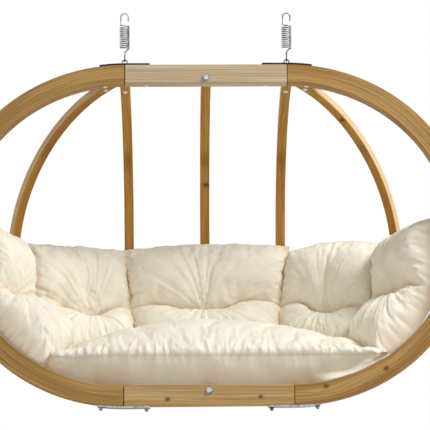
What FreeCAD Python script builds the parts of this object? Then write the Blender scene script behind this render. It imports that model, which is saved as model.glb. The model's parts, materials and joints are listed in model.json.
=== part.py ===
"""Double hanging chair: a tilted timber ring with five bent ribs behind it, hung from two springs.

Frame: X to the right in a front view, Y to the back, Z up. The origin lies midway between the two points
where the spring hooks hang. The chair is drawn square to its ring first, with the ring's centre on its
front face as zero, and is then leaned back about the two hanging eyes.
"""
import FreeCAD
import Part
import math
import os

Vector = FreeCAD.Vector

# Front ring: two half-oval arcs joined by two straight beams
ring_half_height = 600.0
arc_half_width = 624.0
beam_length = 570.0
ring_face_width = 69.0
ring_depth = 45.0

# Ribs: one oval bend for all five, ending square on the back of the ring
rib_width = 35.0
rib_thickness = 27.0
rib_end_drop = 60.0
rib_inner_reach = 605.0
rib_oval_setback = 25.0
rib_side_gap = 1.5
side_rib_angle = 45.0

# Hanging attitude
hang_tilt = 14.0
spring_reach = 163.0

# Steel joint plates, bent from one thickness
plate_thickness = 5.0
plate_half_length = 88.0
plate_setback = 12.0
tongue_width = 25.0
tongue_reach = 78.0

# Bolts and nuts
bolt_diameter = 8.0
bolt_hole_clearance = 0.2
bolt_head_across = 13.0
bolt_head_height = 5.3
nut_across = 13.0
nut_height = 6.5
nut_crown_height = 6.0
nut_crown_across = 7.0
nut_bore_depth = 8.0
sleeve_head = 16.0
sleeve_head_crown = 8.0
sleeve_rim_height = 1.2
sleeve_head_height = 3.6
sleeve_diameter = 10.5
sleeve_length = 10.0
sleeve_end_gap = 1.0
thread_clearance = 0.05
seat_clearance = 0.2
plate_bolt_inset = 12.0
back_rib_bolt_offset = 53.0
side_rib_bolt_offset = 38.0
lower_head_sink = 6.0
head_pocket_clearance = 0.5
rod_sides = 12

# Front bolts of the centre rib
washer_diameter = 25.0
washer_thickness = 2.0
centre_head_across = 17.0
barrel_diameter = 12.0
barrel_length = 20.0
barrel_offset = 30.0
barrel_clearance = 0.1
centre_bolt_tail = 12.0

# Loose tenons in the ring's butt joints
tenon_length = 80.0
tenon_width = 40.0
tenon_thickness = 12.0
tenon_clearance = 0.1

# Hanging eyes
eye_wire = 5.0
eye_height = 20.7
eye_foot_spacing = 20.6
eye_top_spacing = 14.4
eye_bend = 4.5

# Springs
spring_wire = 4.5
coil_diameter = 36.5
coil_turns = 12
coil_top_drop = 40.0
hook_bend = 13.0
upper_hook_free_end = 26.0
lower_hook_height = 40.5
lower_hook_free_rise = 29.0
hook_run_in = 50.0
hook_play = 0.3
wire_sides = 6

# Pillows of the back and arms
soft_gap = 0.8
pillow_top = 82.0
pillow_bottom = -370.0
arm_pillow_bottom = -445.0
pillow_upper_crown = 165.0
pillow_lower_crown = 145.0
pillow_crease = 115.0
pillow_tuft = 82.0
pillow_seam_thickness = 30.0
pillow_upper_crown_rise = 0.70
pillow_crease_rise = 0.40
pillow_lower_crown_rise = 0.22
pillow_roundness = 0.80
pillow_top_spread = 17.0
pillow_foot_tuck = 30.0
pillow_gap = 4.0
pillow_rib_overlap = 8.0
arm_ring_gap = 12.0

# Seat cushion
seat_end_inset = 18.0
seat_end_panel = 66.0
seat_seam_overhang = 22.0
seat_foot_gap = 43.0
seat_rear_gap = 12.0
seat_arm_gap = 9.0
seat_rear_height = -262.0
seat_rear_fall = 105.0
seat_crown = 46.0
seat_end_crown = 10.0

# Places worked out from those sizes
arc_x = beam_length / 2
ring_mid_height = ring_half_height - ring_face_width / 2
rib_inner_half_height = ring_half_height - rib_end_drop
rib_outer_half_height = rib_inner_half_height + rib_thickness
rib_outer_reach = rib_inner_reach + rib_thickness
side_slope = math.radians(side_rib_angle)
side_rib_start = arc_x + rib_width / 2 + rib_side_gap + rib_width / 2 / math.cos(side_slope)
side_axis_x = side_rib_start - ring_depth * math.tan(side_slope)
plate_bolt_offset = plate_half_length - plate_bolt_inset
head_pocket = bolt_head_across * 2 / math.sqrt(3) + 2 * head_pocket_clearance
eye_depth = ring_depth / 2
eye_rise = ring_half_height + plate_thickness + eye_height - eye_wire / 2
big = 4 * (ring_half_height + arc_half_width + beam_length)


def box(x0, x1, y0, y1, z0, z1):
    return Part.makeBox(x1 - x0, y1 - y0, z1 - z0, Vector(x0, y0, z0))


def mirror_x(shape):
    return shape.mirror(Vector(0, 0, 0), Vector(1, 0, 0))


def mirror_z(shape):
    return shape.mirror(Vector(0, 0, 0), Vector(0, 0, 1))


def group(shapes):
    return Part.makeCompound(shapes)


def hang(shape):
    """Lean a shape back about the hanging eyes and bring it under the springs."""
    hung = shape.copy()
    hung.rotate(Vector(0, eye_depth, eye_rise), Vector(1, 0, 0), -hang_tilt)
    hung.translate(Vector(0, -eye_depth, -spring_reach - eye_rise))
    return hung


def oval(centre, along, half_along, half_up, offset):
    """Face of an oval in the plane of along and Z, seamed at an end of its longer axis."""
    side = centre - along * (half_along + offset)
    top = centre + Vector(0, 0, half_up + offset)
    ends = (side, top) if half_along >= half_up else (top, side)
    return Part.Face(Part.Wire(Part.Ellipse(*ends, centre).toShape()))


def oval_band(centre, along, half_along, half_up, thickness, sweep):
    outer = oval(centre, along, half_along, half_up, thickness).extrude(sweep)
    inner = oval(centre, along, half_along, half_up, 0).extrude(sweep)
    return outer.cut(inner)


def rib_depth(height):
    """Depth of the ribs' inner face behind the ring's front, at a height from the ring's centre."""
    return rib_inner_reach * math.sqrt(1 - (height / rib_inner_half_height) ** 2) - rib_oval_setback


def rib_outer_height(depth):
    share = (depth + rib_oval_setback) / rib_outer_reach
    return rib_outer_half_height * math.sqrt(1 - share ** 2)


def oval_normal(depth, height, reach, half_height):
    normal = Vector(0, (depth + rib_oval_setback) / reach ** 2, height / half_height ** 2)
    return normal.normalize()


def fan(shape, angle, side):
    """Turn a shape drawn in the plane x = 0 about the upright axis of a side panel."""
    turned = shape.copy()
    turned.rotate(Vector(0, 0, 0), Vector(0, 0, 1), -side * angle)
    turned.translate(Vector(side * side_axis_x, 0, 0))
    return turned


behind_ring = box(-big, big, ring_depth, big, -big, big)
nodes = {}


# Ring
def ring_arc():
    centre = Vector(arc_x, 0, 0)
    inner_half_width = arc_half_width - ring_face_width
    inner_half_height = ring_half_height - ring_face_width
    band = oval_band(centre, Vector(1, 0, 0), inner_half_width, inner_half_height,
                     ring_face_width, Vector(0, ring_depth, 0))
    return band.common(box(arc_x, big, -big, big, -big, big))


def beam():
    return box(-arc_x, arc_x, 0, ring_depth, ring_half_height - ring_face_width, ring_half_height)


# Ribs
def rib_band(thickness_start, thickness, width):
    """Oval band in the plane x = 0, measured outwards from the ribs' inner face."""
    centre = Vector(-width / 2, -rib_oval_setback, 0)
    return oval_band(centre, Vector(0, 1, 0), rib_inner_reach + thickness_start,
                     rib_inner_half_height + thickness_start, thickness, Vector(width, 0, 0))


def trim_to_ring(shape):
    return shape.common(behind_ring)


def straight_rib(x):
    rib = trim_to_ring(rib_band(0, rib_thickness, rib_width))
    rib.translate(Vector(x, 0, 0))
    return rib


def side_rib(side):
    return trim_to_ring(fan(rib_band(0, rib_thickness, rib_width), side_rib_angle, side))


# Joint plates: strap over the butt joint, web down the ring's back, one tongue along each rib
def joint_plate():
    back = ring_depth + plate_thickness
    flat = box(arc_x - plate_half_length, arc_x, plate_setback, back,
               ring_half_height, ring_half_height + plate_thickness)
    bent = oval_band(Vector(arc_x, plate_setback, 0), Vector(1, 0, 0), arc_half_width,
                     ring_half_height, plate_thickness, Vector(0, back - plate_setback, 0))
    bent = bent.common(box(arc_x, arc_x + plate_half_length, -big, big, 0, big))
    web_foot = rib_outer_height(ring_depth) + plate_thickness / 2
    side_reach = tongue_width / 2 / math.cos(side_slope)
    web = box(arc_x - tongue_width / 2, side_rib_start + side_reach, ring_depth, back,
              web_foot, ring_half_height)
    tongue = rib_band(rib_thickness, plate_thickness, tongue_width)
    upper_half = box(-big, big, -big, ring_depth + tongue_reach, 0, big)
    back_tongue = trim_to_ring(tongue.common(upper_half))
    back_tongue.translate(Vector(arc_x, 0, 0))
    side_limit = ring_depth / math.cos(side_slope) + tongue_reach
    side_tongue = tongue.common(box(-big, big, -big, side_limit, 0, big))
    side_tongue = trim_to_ring(fan(side_tongue, side_rib_angle, 1))
    return flat.fuse([bent, web, back_tongue, side_tongue]).removeSplitter()


# Bolts and nuts: many-sided rods stand for their round shanks and holes, to keep small pieces light
def regular(sides, radius, base, direction):
    """Closed outline of a regular many-sided figure, square to direction."""
    turns = [2 * math.pi * k / sides for k in range(sides + 1)]
    outline = Part.makePolygon([Vector(math.cos(turn), math.sin(turn), 0) * radius for turn in turns])
    outline.Placement = FreeCAD.Placement(base, FreeCAD.Rotation(Vector(0, 0, 1), direction))
    return Part.Wire(outline.Edges)


def rod(diameter, length, base, direction):
    return Part.Face(regular(rod_sides, diameter / 2, base, direction)).extrude(direction * length)


def hexagon(across, base, direction):
    return regular(6, across / math.sqrt(3), base, direction)


def bolt(seat, inward, grip, head_across):
    """Hexagon bolt whose head sits at seat and whose shank runs inward through the grip."""
    under_head = seat - inward * seat_clearance
    head = Part.Face(hexagon(head_across, under_head, inward)).extrude(inward * -bolt_head_height)
    return head.fuse(rod(bolt_diameter, grip + nut_bore_depth, under_head, inward)).removeSplitter()


def cap_nut(seat, outward):
    """Closed nut standing on seat, with its blind bore open towards the seat."""
    base = seat + outward * seat_clearance
    shoulder = base + outward * nut_height
    crown = shoulder + outward * nut_crown_height
    body = Part.makeLoft([hexagon(nut_across, base, outward), hexagon(nut_across, shoulder, outward),
                          hexagon(nut_crown_across, crown, outward)], True, True)
    bore = rod(bolt_diameter + 2 * thread_clearance, nut_bore_depth + 2 * seat_clearance, base, outward)
    return body.cut(bore)


def sleeve_nut(seat, outward):
    """Nut with a low domed head on seat and a threaded sleeve that runs into the wood behind it."""
    base = seat + outward * seat_clearance
    levels = ((sleeve_head, 0), (sleeve_head, sleeve_rim_height), (sleeve_head_crown, sleeve_head_height))
    head = Part.makeLoft([regular(rod_sides, across / 2, base + outward * height, outward)
                          for across, height in levels], True, True)
    body = head.fuse(rod(sleeve_diameter, sleeve_length, base, outward * -1)).removeSplitter()
    return body.cut(rod(bolt_diameter + 2 * thread_clearance, 2 * sleeve_length, base, outward * -1))


def bolt_hole(seat, inward, depth):
    reach = bolt_head_height + nut_height
    return rod(bolt_diameter + 2 * bolt_hole_clearance, depth + 2 * reach, seat - inward * reach, inward)


def plate_bolt_lines():
    """Outer seat and inward direction of the two bolts of the plate at the upper right joint."""
    depth = (plate_setback + ring_depth) / 2
    face = ring_half_height + plate_thickness
    yield Vector(arc_x - plate_bolt_offset, depth, face), Vector(0, 0, -1)
    share = plate_bolt_offset / arc_half_width
    foot = Vector(arc_x + plate_bolt_offset, depth, ring_half_height * math.sqrt(1 - share ** 2))
    outward = Vector(plate_bolt_offset / arc_half_width ** 2, 0, foot.z / ring_half_height ** 2)
    outward.normalize()
    yield foot + outward * plate_thickness, outward * -1


def rib_bolt_lines():
    """Outer seat and inward direction of the two rib bolts at the upper right joint."""
    for offset, angle, x in ((back_rib_bolt_offset, 0.0, arc_x),
                             (side_rib_bolt_offset, side_rib_angle, side_axis_x)):
        depth = ring_depth / math.cos(math.radians(angle)) + offset
        height = rib_outer_height(depth)
        outward = oval_normal(depth, height, rib_outer_reach, rib_outer_half_height)
        seat = Vector(0, depth, height) + outward * plate_thickness
        turn = FreeCAD.Rotation(Vector(0, 0, 1), -angle)
        yield turn.multVec(seat) + Vector(x, 0, 0), turn.multVec(outward) * -1


# Upper bolts have their heads outside and low sleeve nuts inside, where backs rest; lower ones have
# their heads inside, sunk into the wood under the seat, and cap nuts outside
plate_grip = plate_thickness + ring_face_width
rib_grip = plate_thickness + rib_thickness
fasteners = {"plate_bolts": [], "plate_nuts": [], "rib_bolts": [], "rib_nuts": []}
holes = {"plate": [], "rib": []}
for kind, lines, grip, sink in (("plate", plate_bolt_lines, plate_grip, lower_head_sink),
                                ("rib", rib_bolt_lines, rib_grip, lower_head_sink)):
    for seat, inward in lines():
        inner_seat = seat + inward * grip
        sunk_seat = inner_seat - inward * sink
        upper_bolt = bolt(seat, inward, grip - sleeve_end_gap - nut_bore_depth, bolt_head_across)
        lower_bolt = bolt(sunk_seat, inward * -1, grip - sink + 2 * seat_clearance, bolt_head_across)
        pairs = ((upper_bolt, sleeve_nut(inner_seat, inward)),
                 (mirror_z(lower_bolt), mirror_z(cap_nut(seat, inward * -1))))
        for screw, cap in pairs:
            fasteners[kind + "_bolts"] += [screw, mirror_x(screw)]
            fasteners[kind + "_nuts"] += [cap, mirror_x(cap)]
        hole = bolt_hole(seat, inward, grip)
        holes[kind] += [hole, mirror_x(hole), mirror_z(hole), mirror_z(mirror_x(hole))]
        pocket = mirror_z(rod(head_pocket, 2 * sink, sunk_seat, inward))
        sleeve_hole = rod(sleeve_diameter + 2 * bolt_hole_clearance, 2 * (sleeve_length + sleeve_end_gap),
                          inner_seat + inward * (sleeve_length + sleeve_end_gap), inward * -1)
        holes[kind] += [pocket, mirror_x(pocket), sleeve_hole, mirror_x(sleeve_hole)]

# Front bolts of the centre rib, with washers and cross-drilled barrel nuts
rib_end_height = rib_outer_height(ring_depth) - rib_thickness / 2
across = Vector(1, 0, 0)
back = Vector(0, 1, 0)
centre_bolts = []
centre_washers = []
barrel_nuts = []
for up in (1, -1):
    seat = Vector(0, 0, up * rib_end_height)
    head_seat = seat - back * washer_thickness
    washer = Part.makeCylinder(washer_diameter / 2, washer_thickness, head_seat, back)
    hole_depth = ring_depth + barrel_offset + centre_bolt_tail
    hole = bolt_hole(seat, back, hole_depth)
    grip = washer_thickness + hole_depth - nut_bore_depth
    barrel_centre = seat + back * (ring_depth + barrel_offset)
    barrel_end = barrel_centre - across * (barrel_length / 2)
    thread = rod(bolt_diameter + 2 * thread_clearance, 2 * barrel_diameter,
                 barrel_centre - back * barrel_diameter, back)
    centre_bolts.append(bolt(head_seat, back, grip, centre_head_across))
    centre_washers.append(washer.cut(hole))
    barrel_nuts.append(rod(barrel_diameter, barrel_length, barrel_end, across).cut(thread))
    holes["plate"].append(hole)
    holes["rib"] += [hole, rod(barrel_diameter + 2 * barrel_clearance, barrel_length + rib_width,
                               barrel_end, across)]


# Loose tenons across the four butt joints
def tenon_block(x, z, play):
    half_length = tenon_length / 2 + play
    half_thickness = tenon_thickness / 2 + play
    half_width = tenon_width / 2 + play
    return box(x - half_length, x + half_length, ring_depth / 2 - half_thickness,
               ring_depth / 2 + half_thickness, z - half_width, z + half_width)


tenons = []
for joint_x in (-arc_x, arc_x):
    for joint_z in (-ring_mid_height, ring_mid_height):
        tenons.append(tenon_block(joint_x, joint_z, 0))
        holes["plate"].append(tenon_block(joint_x, joint_z, tenon_clearance))

nodes["right_ring_arc"] = ring_arc()
nodes["left_ring_arc"] = mirror_x(nodes["right_ring_arc"])
nodes["top_beam"] = beam()
nodes["bottom_beam"] = mirror_z(nodes["top_beam"])
for name in ("right_ring_arc", "left_ring_arc", "top_beam", "bottom_beam"):
    nodes[name] = nodes[name].cut(holes["plate"])
nodes["left_side_rib"] = side_rib(-1)
nodes["left_back_rib"] = straight_rib(-arc_x)
nodes["centre_rib"] = straight_rib(0)
nodes["right_back_rib"] = straight_rib(arc_x)
nodes["right_side_rib"] = side_rib(1)
for name in ("left_side_rib", "left_back_rib", "centre_rib", "right_back_rib", "right_side_rib"):
    nodes[name] = nodes[name].cut(holes["rib"])
upper_right = joint_plate()
for name, plate in (("upper_right_plate", upper_right), ("upper_left_plate", mirror_x(upper_right)),
                    ("lower_right_plate", mirror_z(upper_right)),
                    ("lower_left_plate", mirror_z(mirror_x(upper_right)))):
    nodes[name] = plate.cut(holes["plate"] + holes["rib"])
for name, pieces in fasteners.items():
    nodes[name] = group(pieces)
nodes["centre_bolts"] = group(centre_bolts)
nodes["centre_washers"] = group(centre_washers)
nodes["barrel_nuts"] = group(barrel_nuts)
nodes["joint_tenons"] = group(tenons)


# Bent wire
def corner_arc(start, corner, end):
    """Arc that leaves start towards corner and reaches end coming from corner."""
    turn = (corner - start).getAngle(end - corner)
    weight = math.cos(turn / 2)
    middle = (start + end + corner * (2 * weight)) * (1 / (2 + 2 * weight))
    return Part.Arc(start, middle, end).toShape()


def biarc(start, start_way, end, end_way):
    """Two arcs, tangent to each other, between two points with given directions."""
    chord = end - start
    ways = start_way + end_way
    spread = 2 * (1 - start_way.dot(end_way))
    reach = chord.dot(ways)
    handle = (math.sqrt(reach ** 2 + spread * chord.dot(chord)) - reach) / spread
    first = start + start_way * handle
    second = end - end_way * handle
    join = (first + second) * 0.5
    return [corner_arc(start, first, join), corner_arc(join, second, end)]


def line(start, end):
    return Part.LineSegment(start, end).toShape()


def tube(edges, profile):
    return Part.Wire(edges).makePipeShell([profile], True, False)


def hanging_eye():
    base = ring_half_height + plate_thickness
    foot = Vector(eye_foot_spacing / 2, 0, base)
    shoulder = Vector(eye_top_spacing / 2, 0, eye_rise)
    leg_way = (shoulder - foot).normalize()
    bar_way = Vector(-1, 0, 0)
    trim = eye_bend * math.tan(leg_way.getAngle(bar_way) / 2)
    leg_end = shoulder - leg_way * trim
    bar_end = shoulder + bar_way * trim

    def across(point):
        return Vector(-point.x, point.y, point.z)

    path = [line(foot, leg_end), corner_arc(leg_end, shoulder, bar_end), line(bar_end, across(bar_end)),
            corner_arc(across(bar_end), across(shoulder), across(leg_end)), line(across(leg_end), across(foot))]
    circle = Part.Wire(Part.Circle(foot, leg_way, eye_wire / 2).toShape())
    eye = tube(path, circle).common(box(-big, big, -big, big, base, big))
    eye.translate(Vector(arc_x, eye_depth, 0))
    return eye


right_eye = hanging_eye()
nodes["hanging_eyes"] = group([right_eye, mirror_x(right_eye)])


# Springs, drawn where they hang
coil_radius = (coil_diameter - spring_wire) / 2
coil_start = -coil_top_drop - spring_wire / 2
coil_first_angle = 180.0 + hook_run_in
coil_last_angle = 360.0 * coil_turns + 90.0 - hook_run_in
coil_height = spring_reach - lower_hook_height + coil_start
coil_pitch = coil_height * 360.0 / (coil_last_angle - coil_first_angle)
hook_run_height = coil_top_drop + spring_wire / 2 - upper_hook_free_end
hook_tip = Vector(hook_bend, 0, -upper_hook_free_end)


def coil_point(angle):
    turn = math.radians(angle)
    drop = coil_pitch * (angle - coil_first_angle) / 360.0
    return Vector(coil_radius * math.cos(turn), coil_radius * math.sin(turn), coil_start - drop)


def coil_way(angle):
    turn = math.radians(angle)
    fall = coil_pitch / (2 * math.pi)
    way = Vector(-coil_radius * math.sin(turn), coil_radius * math.cos(turn), -fall)
    return way.normalize()


def upper_wire():
    """Path of the open hook and the coil, from the hook's free end to the foot of the coil."""
    down = Vector(0, 0, -1)
    apex = spring_wire / 2
    shoulder = apex - hook_bend
    over = [Vector(hook_bend, 0, shoulder), Vector(0, 0, apex), Vector(-hook_bend, 0, shoulder)]
    leg_end = Vector(-hook_bend, 0, -upper_hook_free_end)
    edges = [line(hook_tip, over[0]),
             corner_arc(over[0], Vector(hook_bend, 0, apex), over[1]),
             corner_arc(over[1], Vector(-hook_bend, 0, apex), over[2]),
             line(over[2], leg_end)]
    edges += biarc(leg_end, down, coil_point(coil_first_angle), coil_way(coil_first_angle))
    halves = math.ceil((coil_last_angle - coil_first_angle) / 180.0)
    step = (coil_last_angle - coil_first_angle) / halves
    for k in range(halves):
        start = coil_first_angle + k * step
        edges += biarc(coil_point(start), coil_way(start), coil_point(start + step), coil_way(start + step))
    return edges


def lower_wire():
    """Path of the lower hook, from the foot of the coil down, under the eye's bar and up again."""
    down = Vector(0, 0, -1)
    low = -spring_reach - eye_wire / 2 - hook_play - spring_wire / 2
    shoulder = low + hook_bend
    foot = coil_point(coil_last_angle)
    leg_start = Vector(0, hook_bend, foot.z - hook_run_height)
    under = [Vector(0, hook_bend, shoulder), Vector(0, 0, low), Vector(0, -hook_bend, shoulder)]
    edges = biarc(foot, coil_way(coil_last_angle), leg_start, down)
    edges += [line(leg_start, under[0]),
              corner_arc(under[0], Vector(0, hook_bend, low), under[1]),
              corner_arc(under[1], Vector(0, -hook_bend, low), under[2]),
              line(under[2], Vector(0, -hook_bend, lower_hook_free_rise - spring_reach))]
    return edges


def least_gap(edges):
    """Clear distance between stretches of the wire that are not neighbours along it."""
    points = [point for edge in edges for point in edge.discretize(samples_per_arc)[:-1]]
    run = [0.0]
    for before, after in zip(points, points[1:]):
        run.append(run[-1] + before.distanceToPoint(after))
    neighbour_run = 4 * spring_wire
    gaps = [a.distanceToPoint(b) for i, a in enumerate(points) for j, b in enumerate(points[:i])
            if run[i] - run[j] > neighbour_run]
    return min(gaps) - spring_wire


samples_per_arc = 9
upper_path = upper_wire()
lower_path = lower_wire()
print("least gap of the spring wire to itself, mm:", round(least_gap(upper_path + lower_path), 2))
spring = tube(upper_path, regular(wire_sides, spring_wire / 2, hook_tip, Vector(0, 0, 1)))
coil_foot = coil_point(coil_last_angle)
lower_hook = tube(lower_path, regular(wire_sides, spring_wire / 2, coil_foot, coil_way(coil_last_angle)))


# Pillows: upper and lower lobe drawn in along a crease, deepest at the sewn tuft
def rib_face(height, inset):
    """Point in the plane x = 0, inset from the ribs' inner face at a height."""
    depth = rib_depth(height)
    normal = oval_normal(depth, height, rib_inner_reach, rib_inner_half_height)
    return Vector(0, depth, height) - normal * (soft_gap + inset)


def three_point_arc(start, middle, end):
    return Part.Arc(start, middle, end).toShape()


def pillow_section(share, bottom, slant_base, slant):
    """Profile across a pillow, at share 0 in the middle of its width and 1 at its side seams.

    The profile stands in an upright plane, or in one that slants across by slant for each unit of height.
    """
    fullness = math.sqrt(1 - abs(share) ** 6)
    crease = pillow_tuft + (pillow_crease - pillow_tuft) * abs(share)

    def point(rise, thickness):
        spot = rib_face(bottom + (pillow_top - bottom) * rise, thickness)
        return spot + Vector(slant_base + slant * spot.z, 0, 0)

    def front(rise, crown):
        return point(rise, pillow_seam_thickness + (crown - pillow_seam_thickness) * fullness)

    def roll(low, high):
        """Arc of the front between two places, each a rise and a crown, full towards its crest."""
        crest, foot = (low, high) if low[1] > high[1] else (high, low)
        middle = ((low[0] + high[0]) / 2, foot[1] + (crest[1] - foot[1]) * pillow_roundness)
        return three_point_arc(front(*low), front(*middle), front(*high))

    places = [(0, pillow_seam_thickness), (pillow_lower_crown_rise, pillow_lower_crown),
              (pillow_crease_rise, crease), (pillow_upper_crown_rise, pillow_upper_crown),
              (1, pillow_seam_thickness)]
    rolls = [roll(low, high) for low, high in zip(places, places[1:])]
    back = [three_point_arc(point(high, 0), point((low + high) / 2, 0), point(low, 0))
            for low, high in ((pillow_crease_rise, 1), (0, pillow_crease_rise))]
    top_seam = line(front(*places[-1]), point(1, 0))
    bottom_seam = line(point(0, 0), front(*places[0]))
    return Part.Wire(rolls + [top_seam] + back + [bottom_seam])


# The centre pillow is wider at its top than at its foot, and the pillows beside it follow its slanting sides
pillow_slant = (pillow_top_spread + pillow_foot_tuck) / (pillow_top - pillow_bottom)
pillow_side = arc_x - pillow_foot_tuck - pillow_slant * pillow_bottom
pillow_shares = (-1.0, -0.93, -0.7, 0.0, 0.7, 0.93, 1.0)


def straight_pillow():
    half_width = pillow_side - pillow_gap / 2
    sections = [pillow_section(share, pillow_bottom, share * half_width, share * pillow_slant)
                for share in pillow_shares]
    return Part.makeLoft(sections, True, True)


def fanned_pillow(first_angle, last_angle, side, bottom, inner_base, inner_slant):
    """Pillow between two angles, whose inner side slants while its outer side stands upright."""
    sections = []
    for share in pillow_shares:
        angle = (first_angle + last_angle) / 2 + share * (last_angle - first_angle) / 2
        inner = side * (1 - share) / 2
        section = pillow_section(share, bottom, inner * inner_base, inner * inner_slant)
        sections.append(fan(section, angle, side))
    return Part.makeLoft(sections, True, True)


rib_overlap_angle = math.degrees(pillow_rib_overlap / rib_depth(0))
ring_angle = 90 - math.degrees(math.asin((ring_depth + arm_ring_gap) / rib_depth(arm_pillow_bottom)))
beside_centre = pillow_side + pillow_gap / 2 - side_axis_x
nodes["centre_back_pillow"] = straight_pillow()
for side, name in ((-1, "left"), (1, "right")):
    nodes[name + "_back_pillow"] = fanned_pillow(0.0, side_rib_angle - rib_overlap_angle, side, pillow_bottom,
                                                 beside_centre, pillow_slant)
    nodes[name + "_arm_pillow"] = fanned_pillow(side_rib_angle + rib_overlap_angle, ring_angle, side,
                                                arm_pillow_bottom, 0.0, 0.0)


# Seat cushion: front panel receding under its seam, crowned top, underside lying in the bowl of the ribs
def bowl_height(x, depth):
    distance = math.hypot(max(abs(x) - side_axis_x, 0), depth)
    share = (distance + rib_oval_setback) / rib_inner_reach
    return -rib_inner_half_height * math.sqrt(1 - share ** 2) + soft_gap


def pillow_front(bottom):
    """Least distance of a pillow's lower lobe from the upright axis of its panel."""
    crown_height = bottom + (pillow_top - bottom) * pillow_lower_crown_rise
    return min(rib_face(crown_height, pillow_lower_crown).y, rib_face(bottom, pillow_seam_thickness).y)


seat_front = ring_depth - seat_seam_overhang
seat_foot = ring_depth + seat_foot_gap
seat_rear_reach = pillow_front(pillow_bottom) - seat_rear_gap
seat_corner_reach = pillow_front(arm_pillow_bottom) - seat_arm_gap
along_corner = math.cos(side_slope) / seat_rear_reach
seat_end_reach = math.sin(side_slope) / math.sqrt(seat_corner_reach ** -2 - along_corner ** 2)
seat_half_width = side_axis_x + seat_end_reach - seat_end_inset
seat_seam_height = bowl_height(seat_half_width, seat_foot) + seat_end_panel


def seat_section(x):
    beyond = max(abs(x) - side_axis_x, 0)
    rear = seat_rear_reach * math.sqrt(1 - (beyond / seat_end_reach) ** 2)
    middle = (seat_front + rear) / 2
    rear_height = seat_rear_height - seat_rear_fall * (x / seat_half_width) ** 2
    front_low = Vector(x, seat_foot, bowl_height(x, seat_foot))
    front_seam = Vector(x, seat_front, seat_seam_height)
    rear_top = Vector(x, rear, rear_height)
    rear_low = Vector(x, rear, bowl_height(x, rear))
    fullness = 1 - (x / seat_half_width) ** 2
    crown_rise = seat_end_crown + (seat_crown - seat_end_crown) * fullness
    crown = Vector(x, middle, (seat_seam_height + rear_height) / 2 + crown_rise)
    under_middle = (seat_foot + rear) / 2
    under = Vector(x, under_middle, bowl_height(x, under_middle))
    return Part.Wire([line(front_low, front_seam), three_point_arc(front_seam, crown, rear_top),
                      line(rear_top, rear_low), three_point_arc(rear_low, under, front_low)])


seat_stations = (-1.0, -0.86, -0.68)
inner_stations = (-side_axis_x, -side_axis_x / 2, 0.0)
half_row = [share * seat_half_width for share in seat_stations] + list(inner_stations)
seat_row = half_row + [-x for x in reversed(half_row[:-1])]
nodes["seat_cushion"] = Part.makeLoft([seat_section(x) for x in seat_row], True, True)

nodes = {name: hang(shape) for name, shape in nodes.items()}
for name, shape in (("springs", spring), ("lower_hooks", lower_hook)):
    pair = [shape.translated(Vector(side * arc_x, 0, 0)) for side in (-1, 1)]
    nodes[name] = group(pair)

os.makedirs("parts", exist_ok=True)
for name, shape in nodes.items():
    shape.exportStep("parts/" + name + ".step")
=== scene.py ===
import bmesh
import bpy
import json
import math
from mathutils import Matrix, Vector, noise


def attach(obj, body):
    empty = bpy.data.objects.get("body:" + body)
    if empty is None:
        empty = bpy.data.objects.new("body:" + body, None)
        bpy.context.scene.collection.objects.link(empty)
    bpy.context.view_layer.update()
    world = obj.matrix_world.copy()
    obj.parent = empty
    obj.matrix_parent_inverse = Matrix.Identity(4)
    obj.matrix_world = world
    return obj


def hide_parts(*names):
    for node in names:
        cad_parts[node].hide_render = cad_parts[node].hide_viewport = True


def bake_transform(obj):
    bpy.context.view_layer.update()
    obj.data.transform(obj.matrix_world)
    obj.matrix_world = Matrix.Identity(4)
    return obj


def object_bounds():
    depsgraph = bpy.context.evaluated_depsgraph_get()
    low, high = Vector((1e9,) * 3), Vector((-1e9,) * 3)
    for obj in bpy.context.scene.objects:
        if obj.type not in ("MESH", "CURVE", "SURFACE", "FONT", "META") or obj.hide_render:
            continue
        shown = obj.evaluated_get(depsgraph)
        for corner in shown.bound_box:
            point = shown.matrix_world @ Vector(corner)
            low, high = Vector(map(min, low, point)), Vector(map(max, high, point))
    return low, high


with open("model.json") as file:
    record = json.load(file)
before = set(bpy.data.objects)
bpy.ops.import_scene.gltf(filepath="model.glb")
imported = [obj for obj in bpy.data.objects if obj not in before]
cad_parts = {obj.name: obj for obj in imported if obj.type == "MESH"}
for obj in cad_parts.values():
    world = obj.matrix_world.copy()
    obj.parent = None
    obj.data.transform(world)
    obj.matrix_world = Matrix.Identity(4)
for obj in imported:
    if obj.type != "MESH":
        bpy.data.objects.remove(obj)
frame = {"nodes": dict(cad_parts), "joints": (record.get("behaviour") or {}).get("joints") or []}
cad_low, cad_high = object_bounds()

# Front ring
# Four lengths of planed larch butt together into one long oval, leaning back under the hanging eyes.
# The two beams are straight boards; a little easing on the long edges keeps them kind to the legs.
ring_half_height = 0.600
arc_half_width = 0.624
arc_x = 0.285
ring_face = 0.069
ring_depth = 0.045
ring_easing = 0.004
butt_easing = 0.0014
butt_gap = 0.0030
lean = math.radians(14.0)
eye_rise = 0.6232
swing = next(joint for joint in frame["joints"] if joint["name"] == "swing")
eye_line = Vector(swing["pos_m"])
hung = (Matrix.Translation(eye_line) @ Matrix.Rotation(-lean, 4, "X")
        @ Matrix.Translation((0, -ring_depth / 2, -eye_rise)))


def srgb(red, green, blue):
    """A colour as it is read off a paint card, made linear."""
    def linear(share):
        return share / 12.92 if share <= 0.04045 else ((share + 0.055) / 1.055) ** 2.4
    return (linear(red / 255), linear(green / 255), linear(blue / 255), 1.0)


def node(tree, kind, inputs=None, **settings):
    """Add a shader node; an input is given a value, or the output that feeds it."""
    made = tree.nodes.new("ShaderNode" + kind)
    for key, value in settings.items():
        setattr(made, key, value)
    for key, value in (inputs or {}).items():
        if isinstance(value, bpy.types.NodeSocket):
            tree.links.new(value, made.inputs[key])
        else:
            made.inputs[key].default_value = value
    return made


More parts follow.
